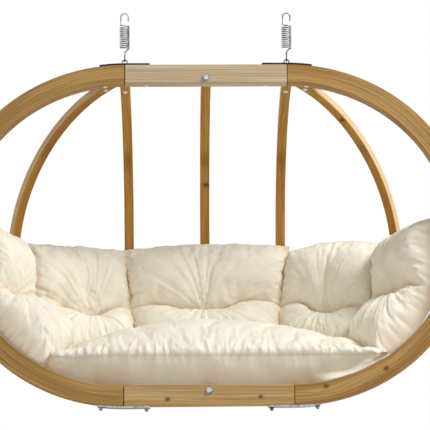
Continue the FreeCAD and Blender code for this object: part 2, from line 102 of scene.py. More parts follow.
def maths(tree, operation, first, second=0.0, third=0.0):
    return node(tree, "Math", {0: first, 1: second, 2: third}, operation=operation).outputs[0]


def spread(tree, value, low, high):
    """Ease a value from the range low to high into 0 to 1, held at both ends."""
    made = node(tree, "MapRange", {"Value": value, "From Min": low, "From Max": high},
                interpolation_type="SMOOTHSTEP")
    return made.outputs["Result"]


def blended(tree, share, first, second):
    """Colour between two colours."""
    made = node(tree, "Mix", {"Factor": share}, data_type="RGBA")
    for key, value in (("A", first), ("B", second)):
        socket = next(s for s in made.inputs if s.name == key and s.type == "RGBA")
        if isinstance(value, bpy.types.NodeSocket):
            tree.links.new(value, socket)
        else:
            socket.default_value = value
    return next(s for s in made.outputs if s.type == "RGBA")


def effect(name, inputs):
    """Empty node group with named inputs that puts out colour, roughness and height, and its two ends."""
    outputs = [("Color", "Color"), ("Roughness", "Float"), ("Height", "Float")]
    group = bpy.data.node_groups.new(name, "ShaderNodeTree")
    for way, sockets in (("INPUT", inputs), ("OUTPUT", outputs)):
        for key, kind in sockets:
            group.interface.new_socket(key, in_out=way, socket_type="NodeSocket" + kind)
    return group, group.nodes.new("NodeGroupInput").outputs, group.nodes.new("NodeGroupOutput").inputs


def put_out(group, made, *results):
    """Lead a finished colour, roughness and height out of an effect."""
    for key, result in zip(("Color", "Roughness", "Height"), results):
        group.links.new(result, made[key])


def stretched(tree, vector, along, across, depth):
    made = node(tree, "VectorMath", {0: vector, 1: (along, across, depth)}, operation="MULTIPLY")
    return made.outputs[0]


def streaks(tree, vector, along, across, depth, detail=2.0):
    """Noise drawn out along one way; each number is how fine it is that way."""
    made = node(tree, "TexNoise", {"Vector": stretched(tree, vector, along, across, depth), "Scale": 1.0,
                                   "Detail": detail})
    return made.outputs[0]


def timber_effect():
    """Growth rings, fibres, glued layers and knots, laid along a piece's own grain."""
    ring_spacing, ring_sway = 0.0105, 0.040
    knot_core, knot_edge = 0.0056, 0.0094
    halo_core, halo_edge = 0.006, 0.017
    knot_brown = srgb(92, 56, 28)
    group, given, made = effect(
        "timber", [("Grain", "Vector"), ("Pale", "Color"), ("Warm", "Color"), ("Dark", "Color"),
                   ("Layer", "Float"), ("Layer Thickness", "Float"), ("Knot", "Vector"),
                   ("Second Knot", "Vector")])
    grain, dark = given["Grain"], given["Dark"]
    split = node(group, "SeparateXYZ", {0: grain})
    slope = maths(group, "MULTIPLY_ADD", split.outputs["Z"], 0.55, split.outputs["Y"])
    ring_line = maths(group, "MULTIPLY_ADD", streaks(group, grain, 2.6, 16, 16), ring_sway, slope)
    phase = maths(group, "FRACT", maths(group, "MULTIPLY", ring_line, 1 / ring_spacing))
    late = maths(group, "MULTIPLY", spread(group, phase, 0.25, 0.93), spread(group, phase, 1.0, 0.95))
    fibre = streaks(group, grain, 16, 700, 700, 3.0)
    vein = streaks(group, grain, 1.7, 105, 105)
    tone = streaks(group, grain, 2.0, 26, 26, 3.0)
    colour = blended(group, spread(group, tone, 0.34, 0.66), given["Pale"], given["Warm"])
    for mark, strength in ((late, 0.40), (spread(group, vein, 0.50, 0.68), 0.62),
                           (spread(group, fibre, 0.50, 0.72), 0.20)):
        colour = blended(group, maths(group, "MULTIPLY", mark, strength), colour, dark)

    count = maths(group, "DIVIDE", given["Layer"], given["Layer Thickness"])
    layer_tone = node(group, "TexWhiteNoise", {"W": maths(group, "FLOOR", count)}, noise_dimensions="1D")
    shade = maths(group, "MULTIPLY", layer_tone.outputs["Value"], 0.42)
    colour = blended(group, shade, colour, given["Warm"])
    edge = maths(group, "ABSOLUTE", maths(group, "SUBTRACT", maths(group, "FRACT", count), 0.5))
    glue = spread(group, edge, 0.44, 0.495)
    colour = blended(group, maths(group, "MULTIPLY", glue, 0.5), colour, dark)

    for key in ("Knot", "Second Knot"):
        way = node(group, "VectorMath", {0: grain, 1: given[key]}, operation="SUBTRACT").outputs[0]
        drawn_out = stretched(group, way, 0.75, 1.0, 0.5)
        away = node(group, "VectorMath", {0: drawn_out}, operation="LENGTH").outputs["Value"]
        away = maths(group, "MULTIPLY_ADD", fibre, 0.004, away)
        halo = maths(group, "MULTIPLY", spread(group, away, halo_edge, halo_core), 0.6)
        knot = maths(group, "MULTIPLY", spread(group, away, knot_edge, knot_core), 0.8)
        colour = blended(group, halo, colour, dark)
        colour = blended(group, knot, colour, knot_brown)
    relief = maths(group, "MULTIPLY_ADD", late, 0.5, maths(group, "MULTIPLY", fibre, 0.6))
    put_out(group, made, colour, maths(group, "MULTIPLY_ADD", fibre, 0.22, 0.40),
            maths(group, "SUBTRACT", relief, glue))
    return group


def dressed(name, group, values, bump_strength, bump_depth, **constants):
    """Material with an effect's colour, roughness and relief, and constants on the shader's own sockets."""
    finish = bpy.data.materials.new(name)
    finish.use_nodes = True
    tree = finish.node_tree
    shader = tree.nodes["Principled BSDF"]
    look = node(tree, "Group", values, node_tree=group)
    bump = node(tree, "Bump", {"Height": look.outputs["Height"], "Strength": bump_strength,
                               "Distance": bump_depth})
    tree.links.new(look.outputs["Color"], shader.inputs["Base Color"])
    tree.links.new(look.outputs["Roughness"], shader.inputs["Roughness"])
    tree.links.new(bump.outputs["Normal"], shader.inputs["Normal"])
    for key, value in constants.items():
        shader.inputs[key.replace("_", " ")].default_value = value
    return finish, look


timber = timber_effect()


def timber_finish(name, pale, warm, dark, layer_axis, layer_thickness, knots=(), planed=True):
    """Oiled wood; layer_axis is the way across its glued layers, knots up to two places in the grain."""
    values = {"Pale": pale, "Warm": warm, "Dark": dark, "Layer Thickness": layer_thickness}
    values.update(zip(("Knot", "Second Knot"), knots))
    finish, wood = dressed(name, timber, values, 0.25, 0.0006, Specular_IOR_Level=0.35)
    tree = finish.node_tree
    if planed:
        grain = node(tree, "Attribute", attribute_name="grain").outputs["Vector"]
    else:
        grain = node(tree, "TexCoord").outputs["Object"]
    tree.links.new(grain, wood.inputs["Grain"])
    tree.links.new(node(tree, "SeparateXYZ", {0: grain}).outputs[layer_axis], wood.inputs["Layer"])
    return finish


def add_object(name, data):
    made = bpy.data.objects.new(name, data)
    bpy.context.scene.collection.objects.link(made)
    return made


def hung_piece(name, bm, finish):
    """Hang a finished shape where it belongs, as a smooth piece with its finish."""
    bmesh.ops.transform(bm, matrix=hung, verts=bm.verts)
    mesh = bpy.data.meshes.new(name)
    for face in bm.faces:
        face.smooth = True
    bm.to_mesh(mesh)
    bm.free()
    mesh.materials.append(finish)
    return add_object(name, mesh)


def place(name, bm, finish, slot, *nodes):
    """Make a hard piece with even shading, fix it to the chair and let it stand for its CAD nodes."""
    piece = hung_piece(name, bm, finish)
    piece.data.set_sharp_from_angle(angle=math.radians(40))
    piece.modifiers.new("even_shading", "WEIGHTED_NORMAL").keep_sharp = True
    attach(piece, "chair")
    if nodes:
        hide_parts(*nodes)
    return piece


def ease(bm, edges, offset, segments):
    bmesh.ops.bevel(bm, geom=edges, offset=offset, offset_type="OFFSET", segments=segments, profile=0.5,
                    affect="EDGES", material=-1)


def set_grain(bm, along_across_depth):
    """Write each point's place in the board, which the wood pattern follows."""
    layer = bm.verts.layers.float_vector.new("grain")
    for vert in bm.verts:
        vert[layer] = along_across_depth(vert.co)


top_cut = 0.4
bottom_cut = 2.3
bottom_knots = [(bottom_cut + x, bottom_cut + z, -ring_depth / 2)
                for x, z in ((-0.139, -0.014), (0.171, -0.008))]
pale_board = timber_finish("pale_board", srgb(214, 200, 172), srgb(196, 174, 138), srgb(164, 132, 92),
                           "Y", ring_face / 2)
honey_board = timber_finish("honey_board", srgb(204, 174, 124), srgb(182, 146, 92), srgb(152, 111, 61),
                            "Y", ring_face / 2, bottom_knots)

for name, up, cut, board in (("top_beam", 1, top_cut, pale_board),
                             ("bottom_beam", -1, bottom_cut, honey_board)):
    bm = bmesh.new()
    bmesh.ops.create_cube(bm, size=1.0)
    bmesh.ops.scale(bm, vec=(2 * arc_x - butt_gap, ring_depth, ring_face), verts=bm.verts)
    long_edges = [e for e in bm.edges if abs(e.verts[0].co.x - e.verts[1].co.x) > arc_x]
    ease(bm, long_edges, ring_easing, 4)
    ends = [e for e in bm.edges if min(abs(v.co.x) for v in e.verts) > arc_x - butt_gap
            and len({round(f.normal.x) for f in e.link_faces}) > 1]
    ease(bm, ends, butt_easing, 1)
    set_grain(bm, lambda co: (co.x + cut, co.z + cut, co.y))
    bmesh.ops.translate(bm, vec=(0, ring_depth / 2, up * (ring_half_height - ring_face / 2)), verts=bm.verts)
    place(name + "_board", bm, board, "ring_timber", name)


# Bent ends of the ring
# Each end is a half oval, glued up from thin layers round a form and then planed flush with the beams.
# The glue lines run round the bend and show on the face as fine darker strokes.
arc_layers = 9
bend_steps = 72
right_arc_cut = 0.0
left_arc_cut = 3.7
arc_knots = [(right_arc_cut + along, across, 0.0) for along, across in ((1.585, -0.036), (1.811, -0.052))]
bent_larch = timber_finish("bent_ring_timber", srgb(196, 158, 96), srgb(166, 124, 62), srgb(116, 76, 32),
                           "Y", ring_face / arc_layers, arc_knots)


def bent_bar(outer, inner, width, easing, cut_at):
    """Bar bent to half an oval in the plane of X and Z, from its top to its foot.

    cut_at is the place in the log where its grain starts, so that no two bars look alike.
    """
    bm = bmesh.new()
    unit_inner = 0.9
    corners = [bm.verts.new((0, y, r))
               for r, y in ((unit_inner, 0), (1, 0), (1, width), (unit_inner, width))]
    section = [bm.edges.new((corners[k - 1], corners[k])) for k in range(4)]
    bmesh.ops.spin(bm, geom=corners + section, cent=(0, 0, 0), axis=(0, 1, 0), angle=math.pi,
                   steps=bend_steps)
    middle = (1 + unit_inner) / 2
    inside = [v for v in bm.verts if math.hypot(v.co.x, v.co.z) < middle]
    outside = [v for v in bm.verts if math.hypot(v.co.x, v.co.z) > middle]
    bmesh.ops.scale(bm, vec=(inner[0] / unit_inner, 1, inner[1] / unit_inner), verts=inside)
    bmesh.ops.scale(bm, vec=(outer[0], 1, outer[1]), verts=outside)
    bmesh.ops.holes_fill(bm, edges=[e for e in bm.edges if e.is_boundary], sides=4)
    bmesh.ops.recalc_face_normals(bm, faces=bm.faces)

    def turn(co):
        rise = co.z / outer[1] / math.hypot(co.x / outer[0], co.z / outer[1])
        return math.acos(max(-1.0, min(rise, 1.0)))

    along = [e for e in bm.edges if abs(turn(e.verts[0].co) - turn(e.verts[1].co)) > 1e-4]
    ease(bm, along, easing, 3)
    mean = (outer[0] + outer[1]) / 2
    set_grain(bm, lambda co: (cut_at + turn(co) * mean,
                              (math.hypot(co.x / outer[0], co.z / outer[1]) - 1) * mean, co.y))
    return bm


inner_width = arc_half_width - ring_face
inner_height = ring_half_height - ring_face
for name, side, cut_at in (("right_ring_arc", 1, right_arc_cut), ("left_ring_arc", -1, left_arc_cut)):
    bm = bent_bar((arc_half_width, ring_half_height), (inner_width, inner_height), ring_depth,
                  ring_easing, cut_at)
    bmesh.ops.translate(bm, vec=(arc_x + butt_gap / 2, 0, 0), verts=bm.verts)
    if side < 0:
        bmesh.ops.scale(bm, vec=(-1, 1, 1), verts=bm.verts)
        bmesh.ops.reverse_faces(bm, faces=bm.faces)
    place(name + "_bend", bm, bent_larch, "ring_timber", name)


# Ribs
# Five slim ribs of bent, layered larch make the bowl. Three stand straight behind the beams and the
# outer two turn away at the ring's joints; all end square on the back of the ring. Their sides,
# where the layers show, are painted paler than the oiled faces: painted light.
rib_width = 0.035
rib_thickness = 0.027
rib_inner_reach = 0.605
rib_inner_height = ring_half_height - 0.060
rib_setback = 0.025
rib_easing = 0.003
rib_layers = 5
rib_side_gap = 0.0015
side_rib_angle = math.radians(45)
side_rib_start = arc_x + rib_width / 2 + rib_side_gap + rib_width / 2 / math.cos(side_rib_angle)
side_axis_x = side_rib_start - ring_depth * math.tan(side_rib_angle)
rib_cut = 2.3
centre_knot = (2 * rib_cut + 0.596, -0.026, 0.0095)
right_side_knot = (4 * rib_cut + 0.334, -0.028, 0.015)
rib_larch = timber_finish("bent_rib_timber", srgb(203, 154, 69), srgb(179, 124, 38), srgb(133, 83, 18),
                          "Y", rib_thickness / rib_layers, (centre_knot, right_side_knot))
# A paler copy of the rib timber for the ribs' sides: painted light.
rib_sides_painted_light = timber_finish("painted_light_rib_side", srgb(242, 215, 172), srgb(226, 193, 142), srgb(192, 153, 98),
                          "Y", rib_thickness / rib_layers)

ribs = (("left_side_rib", -side_axis_x, side_rib_angle), ("left_back_rib", -arc_x, 0.0),
        ("centre_rib", 0.0, 0.0), ("right_back_rib", arc_x, 0.0),
        ("right_side_rib", side_axis_x, -side_rib_angle))
for index, (name, x, turned) in enumerate(ribs):
    bm = bent_bar((rib_inner_reach + rib_thickness, rib_inner_height + rib_thickness),
                  (rib_inner_reach, rib_inner_height), rib_width, rib_easing, rib_cut * index)
    # The faces across the rib's width, its sides, take the paler copy: painted light.
    for face in bm.faces:
        face.material_index = 1 if abs(face.normal.y) > 0.9 else 0
    stand = (Matrix.Translation((x, 0, 0)) @ Matrix.Rotation(math.pi / 2 + turned, 4, "Z")
             @ Matrix.Translation((-rib_setback, -rib_width / 2, 0)))
    bmesh.ops.transform(bm, matrix=stand, verts=bm.verts)
    bmesh.ops.bisect_plane(bm, geom=bm.verts[:] + bm.edges[:] + bm.faces[:], plane_co=(0, ring_depth, 0),
                           plane_no=(0, -1, 0), clear_outer=True)
    bmesh.ops.holes_fill(bm, edges=[e for e in bm.edges if e.is_boundary])
    rib = place(name + "_bend", bm, rib_larch, "rib_timber", name)
    rib.data.materials.append(rib_sides_painted_light)


# Loose tenons
# A flat beech slip is glued into a mortise on each side of every butt joint, out of sight.
# It keeps the faces of the ring flush.
slip_thickness = 0.012
raw_slip = timber_finish("raw_slip", srgb(216, 184, 140), srgb(198, 160, 112), srgb(170, 128, 82),
                         "Z", slip_thickness, planed=False)


def coat_node(name, finish):
    """Give a CAD node that shows as it is its finish."""
    frame["nodes"][name].data.materials.clear()
    frame["nodes"][name].data.materials.append(finish)


coat_node("joint_tenons", raw_slip)


# Joint plates
# Bent steel plates, galvanised, clamp each butt joint: a strap over the ring, a web down its back and
# a tongue along each of the two ribs that meet there. The upper pair is painted much darker: painted shade.
def metal_effect():
    """Uneven grey of zinc, with fine rubbed scratches and duller patches."""
    group, given, made = effect("zinc", [("Bright", "Color"), ("Dull", "Color"), ("Gloss", "Float")])
    place_on = node(group, "TexCoord").outputs["Object"]
    bloom = node(group, "TexNoise", {"Vector": place_on, "Scale": 55.0, "Detail": 3.0}).outputs[0]
    spangle = node(group, "TexVoronoi", {"Vector": place_on, "Scale": 160.0}).outputs["Distance"]
    rub = streaks(group, place_on, 900, 120, 900)
    share = maths(group, "MULTIPLY_ADD", spangle, 0.35, spread(group, bloom, 0.35, 0.7))
    rough = maths(group, "MULTIPLY_ADD", bloom, 0.25, maths(group, "MULTIPLY_ADD", rub, 0.12, given["Gloss"]))
    put_out(group, made, blended(group, share, given["Bright"], given["Dull"]), rough,
            maths(group, "MULTIPLY_ADD", rub, 0.5, bloom))
    return group


zinc = metal_effect()


def zinc_finish(name, bright, dull, gloss):
    values = {"Bright": bright, "Dull": dull, "Gloss": gloss}
    return dressed(name, zinc, values, 0.15, 0.0003, Metallic=1.0)[0]


# The upper plates and their strap edges get a much darker copy of the plate zinc: painted shade.
shaded_plate_zinc = zinc_finish("painted_shade_plate_zinc", srgb(62, 62, 62), srgb(38, 38, 38), 0.46)
plate_zinc = zinc_finish("plate_zinc", srgb(206, 214, 222), srgb(150, 160, 170), 0.30)
for name, finish in (("upper_left_plate", shaded_plate_zinc), ("upper_right_plate", shaded_plate_zinc),
                     ("lower_left_plate", plate_zinc), ("lower_right_plate", plate_zinc)):
    coat_node(name, finish)

# Strap edges
# The straps of the upper plates reach forward over the ring, flush with its face, where they show as
# a thin dark line above each joint, dark with painted shade. They are the same galvanised steel, bent to the
# ring.
plate_thickness = 0.005
plate_setback = 0.012
plate_half_length = 0.088
strap_gap = 0.0002
strap_easing = 0.0008
for side, sign in (("left", -1), ("right", 1)):
    bm = bmesh.new()
    bmesh.ops.create_grid(bm, x_segments=24, y_segments=1, size=1.0)
    for vert in bm.verts:
        x = arc_x + vert.co.x * plate_half_length
        share = max(x - arc_x, 0) / arc_half_width
        vert.co = (sign * x, plate_setback * (vert.co.y + 1) / 2,
                   ring_half_height * math.sqrt(1 - share ** 2) + strap_gap)
    grown = bmesh.ops.extrude_face_region(bm, geom=bm.faces[:])["geom"]
    raised = [part for part in grown if isinstance(part, bmesh.types.BMVert)]
    bmesh.ops.translate(bm, vec=(0, 0, plate_thickness - strap_gap), verts=raised)
    bmesh.ops.recalc_face_normals(bm, faces=bm.faces)
    ease(bm, [e for e in bm.edges if e.calc_face_angle(0) > 1], strap_easing, 2)
    place("upper_%s_strap_edge" % side, bm, shaded_plate_zinc, "plate_steel")


# Bolts and cap nuts
# Zinc-plated hexagon bolts hold the plates to ring and ribs. Above, their heads lie outside and low
# sleeve nuts finish them inside the bowl; below, the heads are sunk under the seat and cap nuts lie outside.
plate_bolt_offset = 0.076
back_rib_bolt = 0.053
side_rib_bolt = 0.038
bolt_shank = 0.008
bolt_across = 0.013
hexagon_easing = 0.0006
bolt_head = 0.0053
nut_body = 0.0065
nut_dome = 0.0055
lower_head_sink = 0.006
sleeve_head = 0.016
sleeve_rim = 0.0012
sleeve_height = 0.0036
seat_gap = 0.0002
bright_zinc = zinc_finish("bright_zinc", srgb(238, 238, 234), srgb(198, 200, 198), 0.22)
bolt_zinc = zinc_finish("bolt_zinc", srgb(150, 158, 164), srgb(88, 94, 100), 0.26)


def oval_point(reach, height, depth):
    """Height and outward direction on an oval about the origin, at a depth."""
    z = height * math.sqrt(1 - (depth / reach) ** 2)
    return z, Vector((depth / reach ** 2, z / height ** 2)).normalized()


def plate_bolt_lines():
    """Seat and outward direction of the two bolts through ring and strap at the upper right joint."""
    depth = (plate_setback + ring_depth) / 2
    yield Vector((arc_x - plate_bolt_offset, depth, ring_half_height + plate_thickness)), Vector((0, 0, 1))
    z, way = oval_point(arc_half_width, ring_half_height, plate_bolt_offset)
    outward = Vector((way.x, 0, way.y))
    yield Vector((arc_x + plate_bolt_offset, depth, z)) + outward * plate_thickness, outward


def rib_bolt_lines():
    """Seat and outward direction of the bolts through the back rib and the side rib there."""
    for offset, turned, x in ((back_rib_bolt, 0.0, arc_x), (side_rib_bolt, -side_rib_angle, side_axis_x)):
        depth = ring_depth / math.cos(turned) + offset
        z, way = oval_point(rib_inner_reach + rib_thickness, rib_inner_height + rib_thickness,
                            depth + rib_setback)
        outward = Vector((0, way.x, way.y))
        spin = Matrix.Rotation(turned, 3, "Z")
        yield spin @ (Vector((0, depth, z)) + outward * plate_thickness) + Vector((x, 0, 0)), spin @ outward


def standing(seat, outward):
    """Matrix that stands a shape drawn up the Z axis on its seat, just clear of it."""
    turned = outward.to_track_quat("Z", "Y").to_matrix().to_4x4()
    return Matrix.Translation(seat + outward * seat_gap) @ turned


def add_hexagon(bm, across, height, matrix):
    made = bmesh.ops.create_cone(bm, cap_ends=True, segments=6, radius1=across / math.sqrt(3),
                                 radius2=across / math.sqrt(3), depth=height,
                                 matrix=matrix @ Matrix.Translation((0, 0, height / 2)))
    edges = {e for v in made["verts"] for e in v.link_edges}
    ease(bm, list(edges), hexagon_easing, 2)


def add_bolt(bm, seat, outward, grip):
    """Hexagon bolt with its head standing on seat and its shank running inwards."""
    stand = standing(seat, outward)
    add_hexagon(bm, bolt_across, bolt_head, stand)
    bmesh.ops.create_cone(bm, cap_ends=True, segments=20, radius1=bolt_shank / 2, radius2=bolt_shank / 2,
                          depth=grip, matrix=stand @ Matrix.Translation((0, 0, -grip / 2)))


def add_dome(bm, stand, radius, foot, rise):
    """Round dome on a foot at a height, spun up about the nut's own axis."""
    angles = [math.radians(15 * k) for k in range(7)]
    outline = [bm.verts.new((radius, 0, 0))]
    outline += [bm.verts.new((radius * math.cos(a), 0, foot + rise * math.sin(a))) for a in angles]
    chain = [bm.edges.new(pair) for pair in zip(outline, outline[1:])]
    before = set(bm.verts) - set(outline)
    bmesh.ops.spin(bm, geom=outline + chain, cent=(0, 0, 0), axis=(0, 0, 1), angle=math.tau, steps=24,
                   use_merge=True)
    bmesh.ops.transform(bm, matrix=stand, verts=[v for v in bm.verts if v not in before])


def add_cap_nut(bm, seat, outward):
    """Hexagon nut closed by a round dome."""
    stand = standing(seat, outward)
    add_hexagon(bm, bolt_across, nut_body, stand)
    add_dome(bm, stand, bolt_across / 2 - hexagon_easing, nut_body, nut_dome)


def add_sleeve_nut(bm, seat, outward):
    """Low domed head of the nut whose sleeve runs into the wood."""
    stand = standing(seat, outward)
    add_dome(bm, stand, sleeve_head / 2, sleeve_rim, sleeve_height - sleeve_rim)


def fasteners(lines, grip):
    """Bolts and nuts of all four joints, from the two lines of the upper right one."""
    bolts, nuts = bmesh.new(), bmesh.new()
    lower_grip = grip - lower_head_sink
    for seat, outward in lines():
        for flip in (1, -1):
            side = Vector((flip, 1, 1))
            upper_seat, upper_way = seat * side, outward * side
            add_bolt(bolts, upper_seat, upper_way, grip)
            add_sleeve_nut(nuts, upper_seat - upper_way * grip, -upper_way)
            down = Vector((flip, 1, -1))
            lower_seat, lower_way = seat * down, outward * down
            add_bolt(bolts, lower_seat - lower_way * lower_grip, -lower_way, lower_grip)
            add_cap_nut(nuts, lower_seat, lower_way)
    return bolts, nuts


for kind, lines, grip in (("plate", plate_bolt_lines, plate_thickness + ring_face),
                          ("rib", rib_bolt_lines, plate_thickness + rib_thickness)):
    bolts, nuts = fasteners(lines, grip)
    for name, bm in ((kind + "_bolts", bolts), (kind + "_nuts", nuts)):
        bmesh.ops.remove_doubles(bm, verts=bm.verts, dist=1e-6)
        bmesh.ops.recalc_face_normals(bm, faces=bm.faces)
        for face in bm.faces:
            face.material_index = int(face.calc_center_median().z < 0)
        piece = place(name + "_zinc", bm, bright_zinc, "zinc_fasteners", name)
        piece.data.materials.append(bolt_zinc)


# Springs
# Each spring is one length of plated wire, wound into a close coil and bent to an open hook at both
# ends: the upper hook hangs from the ceiling, the lower one carries the bar of the hanging eye.
spring_wire = 0.0045
coil_radius = 0.0160
coil_turns = 12
steps_per_turn = 28
run_points = 10
coil_top = -0.04225
coil_foot = eye_line.z + 0.0405
hook_bend = 0.013
hook_run_in = math.radians(50)
hook_run_height = 0.01625
eye_wire = 0.005
hook_play = 0.0003
upper_free_end = -0.026
lower_free_end = eye_line.z + 0.029
wire_zinc = zinc_finish("wire_zinc", srgb(180, 181, 178), srgb(104, 106, 104), 0.22)


def eased_run(start, start_way, end, end_way, count):
    """Points on a smooth run between two places with given directions."""
    handle = (end - start).length * 0.9
    points = []
    for k in range(1, count):
        t = k / count
        points.append(start * (1 + 2 * t) * (1 - t) ** 2 + start_way * handle * t * (1 - t) ** 2
                      + end * t * t * (3 - 2 * t) - end_way * handle * t * t * (1 - t))
    return points


def half_round(centre, first, second, steps=16):
    """Points round a half circle from first, through second, to the far side."""
    return [centre + first * math.cos(math.pi * k / steps) + second * math.sin(math.pi * k / steps)
            for k in range(steps + 1)]


def spring_route():
    """Points along one spring's wire, from the upper hook's free end to the lower one's."""
    down = Vector((0, 0, -1))
    first_turn = math.pi + hook_run_in
    last_turn = coil_turns * math.tau + math.pi / 2 - hook_run_in
    steps = coil_turns * steps_per_turn
    coil = []
    for k in range(steps + 1):
        turn = first_turn + (last_turn - first_turn) * k / steps
        z = coil_top + (coil_foot - coil_top) * k / steps
        coil.append(Vector((coil_radius * math.cos(turn), coil_radius * math.sin(turn), z)))
    top_way = (coil[1] - coil[0]).normalized()
    foot_way = (coil[-1] - coil[-2]).normalized()
    apex = spring_wire / 2
    over = half_round(Vector((0, 0, apex - hook_bend)), Vector((hook_bend, 0, 0)), Vector((0, 0, hook_bend)))
    low = eye_line.z - eye_wire / 2 - hook_play - spring_wire / 2
    under = half_round(Vector((0, 0, low + hook_bend)), Vector((0, hook_bend, 0)), Vector((0, 0, -hook_bend)))
    leg_end = Vector((-hook_bend, 0, upper_free_end))
    leg_start = Vector((0, hook_bend, coil_foot - hook_run_height))
    return ([Vector((hook_bend, 0, upper_free_end)), *over, leg_end]
            + eased_run(leg_end, down, coil[0], top_way, run_points) + coil
            + eased_run(coil[-1], foot_way, leg_start, down, run_points)
            + [leg_start, *under, Vector((0, -hook_bend, lower_free_end))])


def wire_mesh(name, points, diameter):
    """Round wire along points, closed at its cut ends."""
    curve = bpy.data.curves.new(name, "CURVE")
    curve.dimensions = "3D"
    curve.bevel_depth = diameter / 2
    curve.bevel_resolution = 3
    curve.use_fill_caps = True
    spline = curve.splines.new("POLY")
    spline.points.add(len(points) - 1)
    for point, place_at in zip(spline.points, points):
        point.co = (*place_at, 1)
    drawn = add_object(name, curve)
    mesh = bpy.data.meshes.new_from_object(drawn.evaluated_get(bpy.context.evaluated_depsgraph_get()))
    bpy.data.objects.remove(drawn)
    return mesh


for side, x in (("left", -arc_x), ("right", arc_x)):
    mesh = wire_mesh(side + "_spring_wire", [p + Vector((x, 0, 0)) for p in spring_route()], spring_wire)
    mesh.materials.clear()
    mesh.materials.append(wire_zinc)
    for polygon in mesh.polygons:
        polygon.use_smooth = True
    mesh.set_sharp_from_angle(angle=math.radians(50))
    spring = add_object(side + "_spring_wire", mesh)
    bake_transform(spring)
    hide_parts("springs", "lower_hooks")

# Hanging eyes and front bolts
# A bent wire eye stands on each upper plate. The centre rib is drawn to the beams by two long bolts with
# washers on the front face, which run into cross-drilled barrel nuts inside the rib.
for name, finish in (("hanging_eyes", wire_zinc), ("barrel_nuts", bright_zinc), ("centre_washers", bolt_zinc),
                     ("centre_bolts", plate_zinc)):
    coat_node(name, finish)

# Back and arm pillows
# Five loose pillows of unbleached cotton, filled with fibre, stand in the bowl between the ribs. A sewn tuft
# draws each one in along a smiling crease, and the spare cloth runs towards it in soft folds.
soft_gap = 0.0008
pillow_seam = 0.030
pillow_rib_overlap = 0.008
pillow_height = 0.50
pillow_swell = 0.013
pillow_dimple = 0.030
pillow_pressure = 1.2
pillow_spare = 0.055
pillow_give = 0.026
cloth_mesh = 0.0054
settle_frames = 20
coarse_crumple = 0.0012
fine_crumple = 0.0007
tuft_half_length = 0.026
crease_width = 0.0075
crease_height = 0.009
broad_fold = 0.009
narrow_fold = 0.012
pucker_height = 0.014
pucker_reach = 0.030
back_crease = 0.006
lobe_roundness = 2.4
fold_fade = 0.36
crease_fade = 0.20
sharp_line = 0.22
side_draw = 0.010
side_wave = 0.010
side_gather = 0.014
seam_wave = 0.004
seam_gather = 0.0035
rib_clearance = 0.001
dimple_reach = 0.045
# Painted shade in the crease, along sides that press on a neighbour, at the seams and round the tuft.
crease_painted_shade = 0.62
side_seam_painted_shade = 0.8
seam_painted_shade = 0.3
tuft_painted_shade = 0.2
tuft_painted_shade_reach = 0.02


def eased(value, low, high):
    """Smooth step from 0 at low to 1 at high."""
    share = min(max((value - low) / (high - low), 0.0), 1.0)
    return share * share * (3 - 2 * share)


def rib_face(lift, inset):
    """Depth and height of a point inset from the ribs' inner face, at an angle of rise from level."""
    depth = rib_inner_reach * math.cos(lift)
    height = rib_inner_height * math.sin(lift)
    normal = Vector((depth / rib_inner_reach ** 2, height / rib_inner_height ** 2)).normalized()
    return Vector((depth - rib_setback, height)) - normal * (soft_gap + inset)


def cotton_effect():
    """Plain weave with uneven threads, soft mottling, and a warmer painted shade deep in the folds."""
    group, given, made = effect("cotton", [("Cloth", "Vector"), ("Painted Shade Amount", "Float"), ("Pale", "Color"),
                                           ("Shade", "Color"), ("Painted Fold Shade", "Color"), ("Thread", "Float")])
    cloth = given["Cloth"]
    split = node(group, "SeparateXYZ", {0: cloth})
    warp = maths(group, "SINE", maths(group, "DIVIDE", split.outputs["X"], given["Thread"]))
    weft = maths(group, "SINE", maths(group, "DIVIDE", split.outputs["Y"], given["Thread"]))
    weave = maths(group, "MULTIPLY", warp, weft)
    slub = maths(group, "ADD", streaks(group, cloth, 40, 1100, 1), streaks(group, cloth, 1100, 40, 1))
    cloud = node(group, "TexNoise", {"Vector": cloth, "Scale": 16.0, "Detail": 3.0}).outputs[0]
    share = maths(group, "MULTIPLY_ADD", spread(group, slub, 0.8, 1.3), 0.3, spread(group, cloud, 0.35, 0.75))
    colour = blended(group, share, given["Pale"], given["Shade"])
    # Painted shade: a darker, warmer colour where a place lies deep in a crease, at a seam or round a tuft.
    colour = blended(group, given["Painted Shade Amount"], colour, given["Painted Fold Shade"])
    put_out(group, made, colour, maths(group, "MULTIPLY_ADD", slub, 0.1, 0.78),
            maths(group, "MULTIPLY_ADD", weave, 0.3, slub))
    return group


cotton = cotton_effect()
# Pale and Shade are the cloth's own uneven tone; the third colour is painted shade for the folds and seams.
cotton_colours = {"Pale": srgb(248, 242, 226), "Shade": srgb(241, 234, 214), "Painted Fold Shade": srgb(206, 156, 86)}
unbleached, weave = dressed("unbleached_cotton", cotton, {**cotton_colours, "Thread": 0.00011}, 0.3, 0.0004,
                            Specular_IOR_Level=0.2, Sheen_Weight=0.25, Sheen_Roughness=0.5)
# The cloth's place, and its painted shade in the folds, are read from the mesh.
for key, output, into in (("cloth", "Vector", "Cloth"), ("fold", "Fac", "Painted Shade Amount")):
    mapped = node(unbleached.node_tree, "Attribute", attribute_name=key)
    unbleached.node_tree.links.new(mapped.outputs[output], weave.inputs[into])


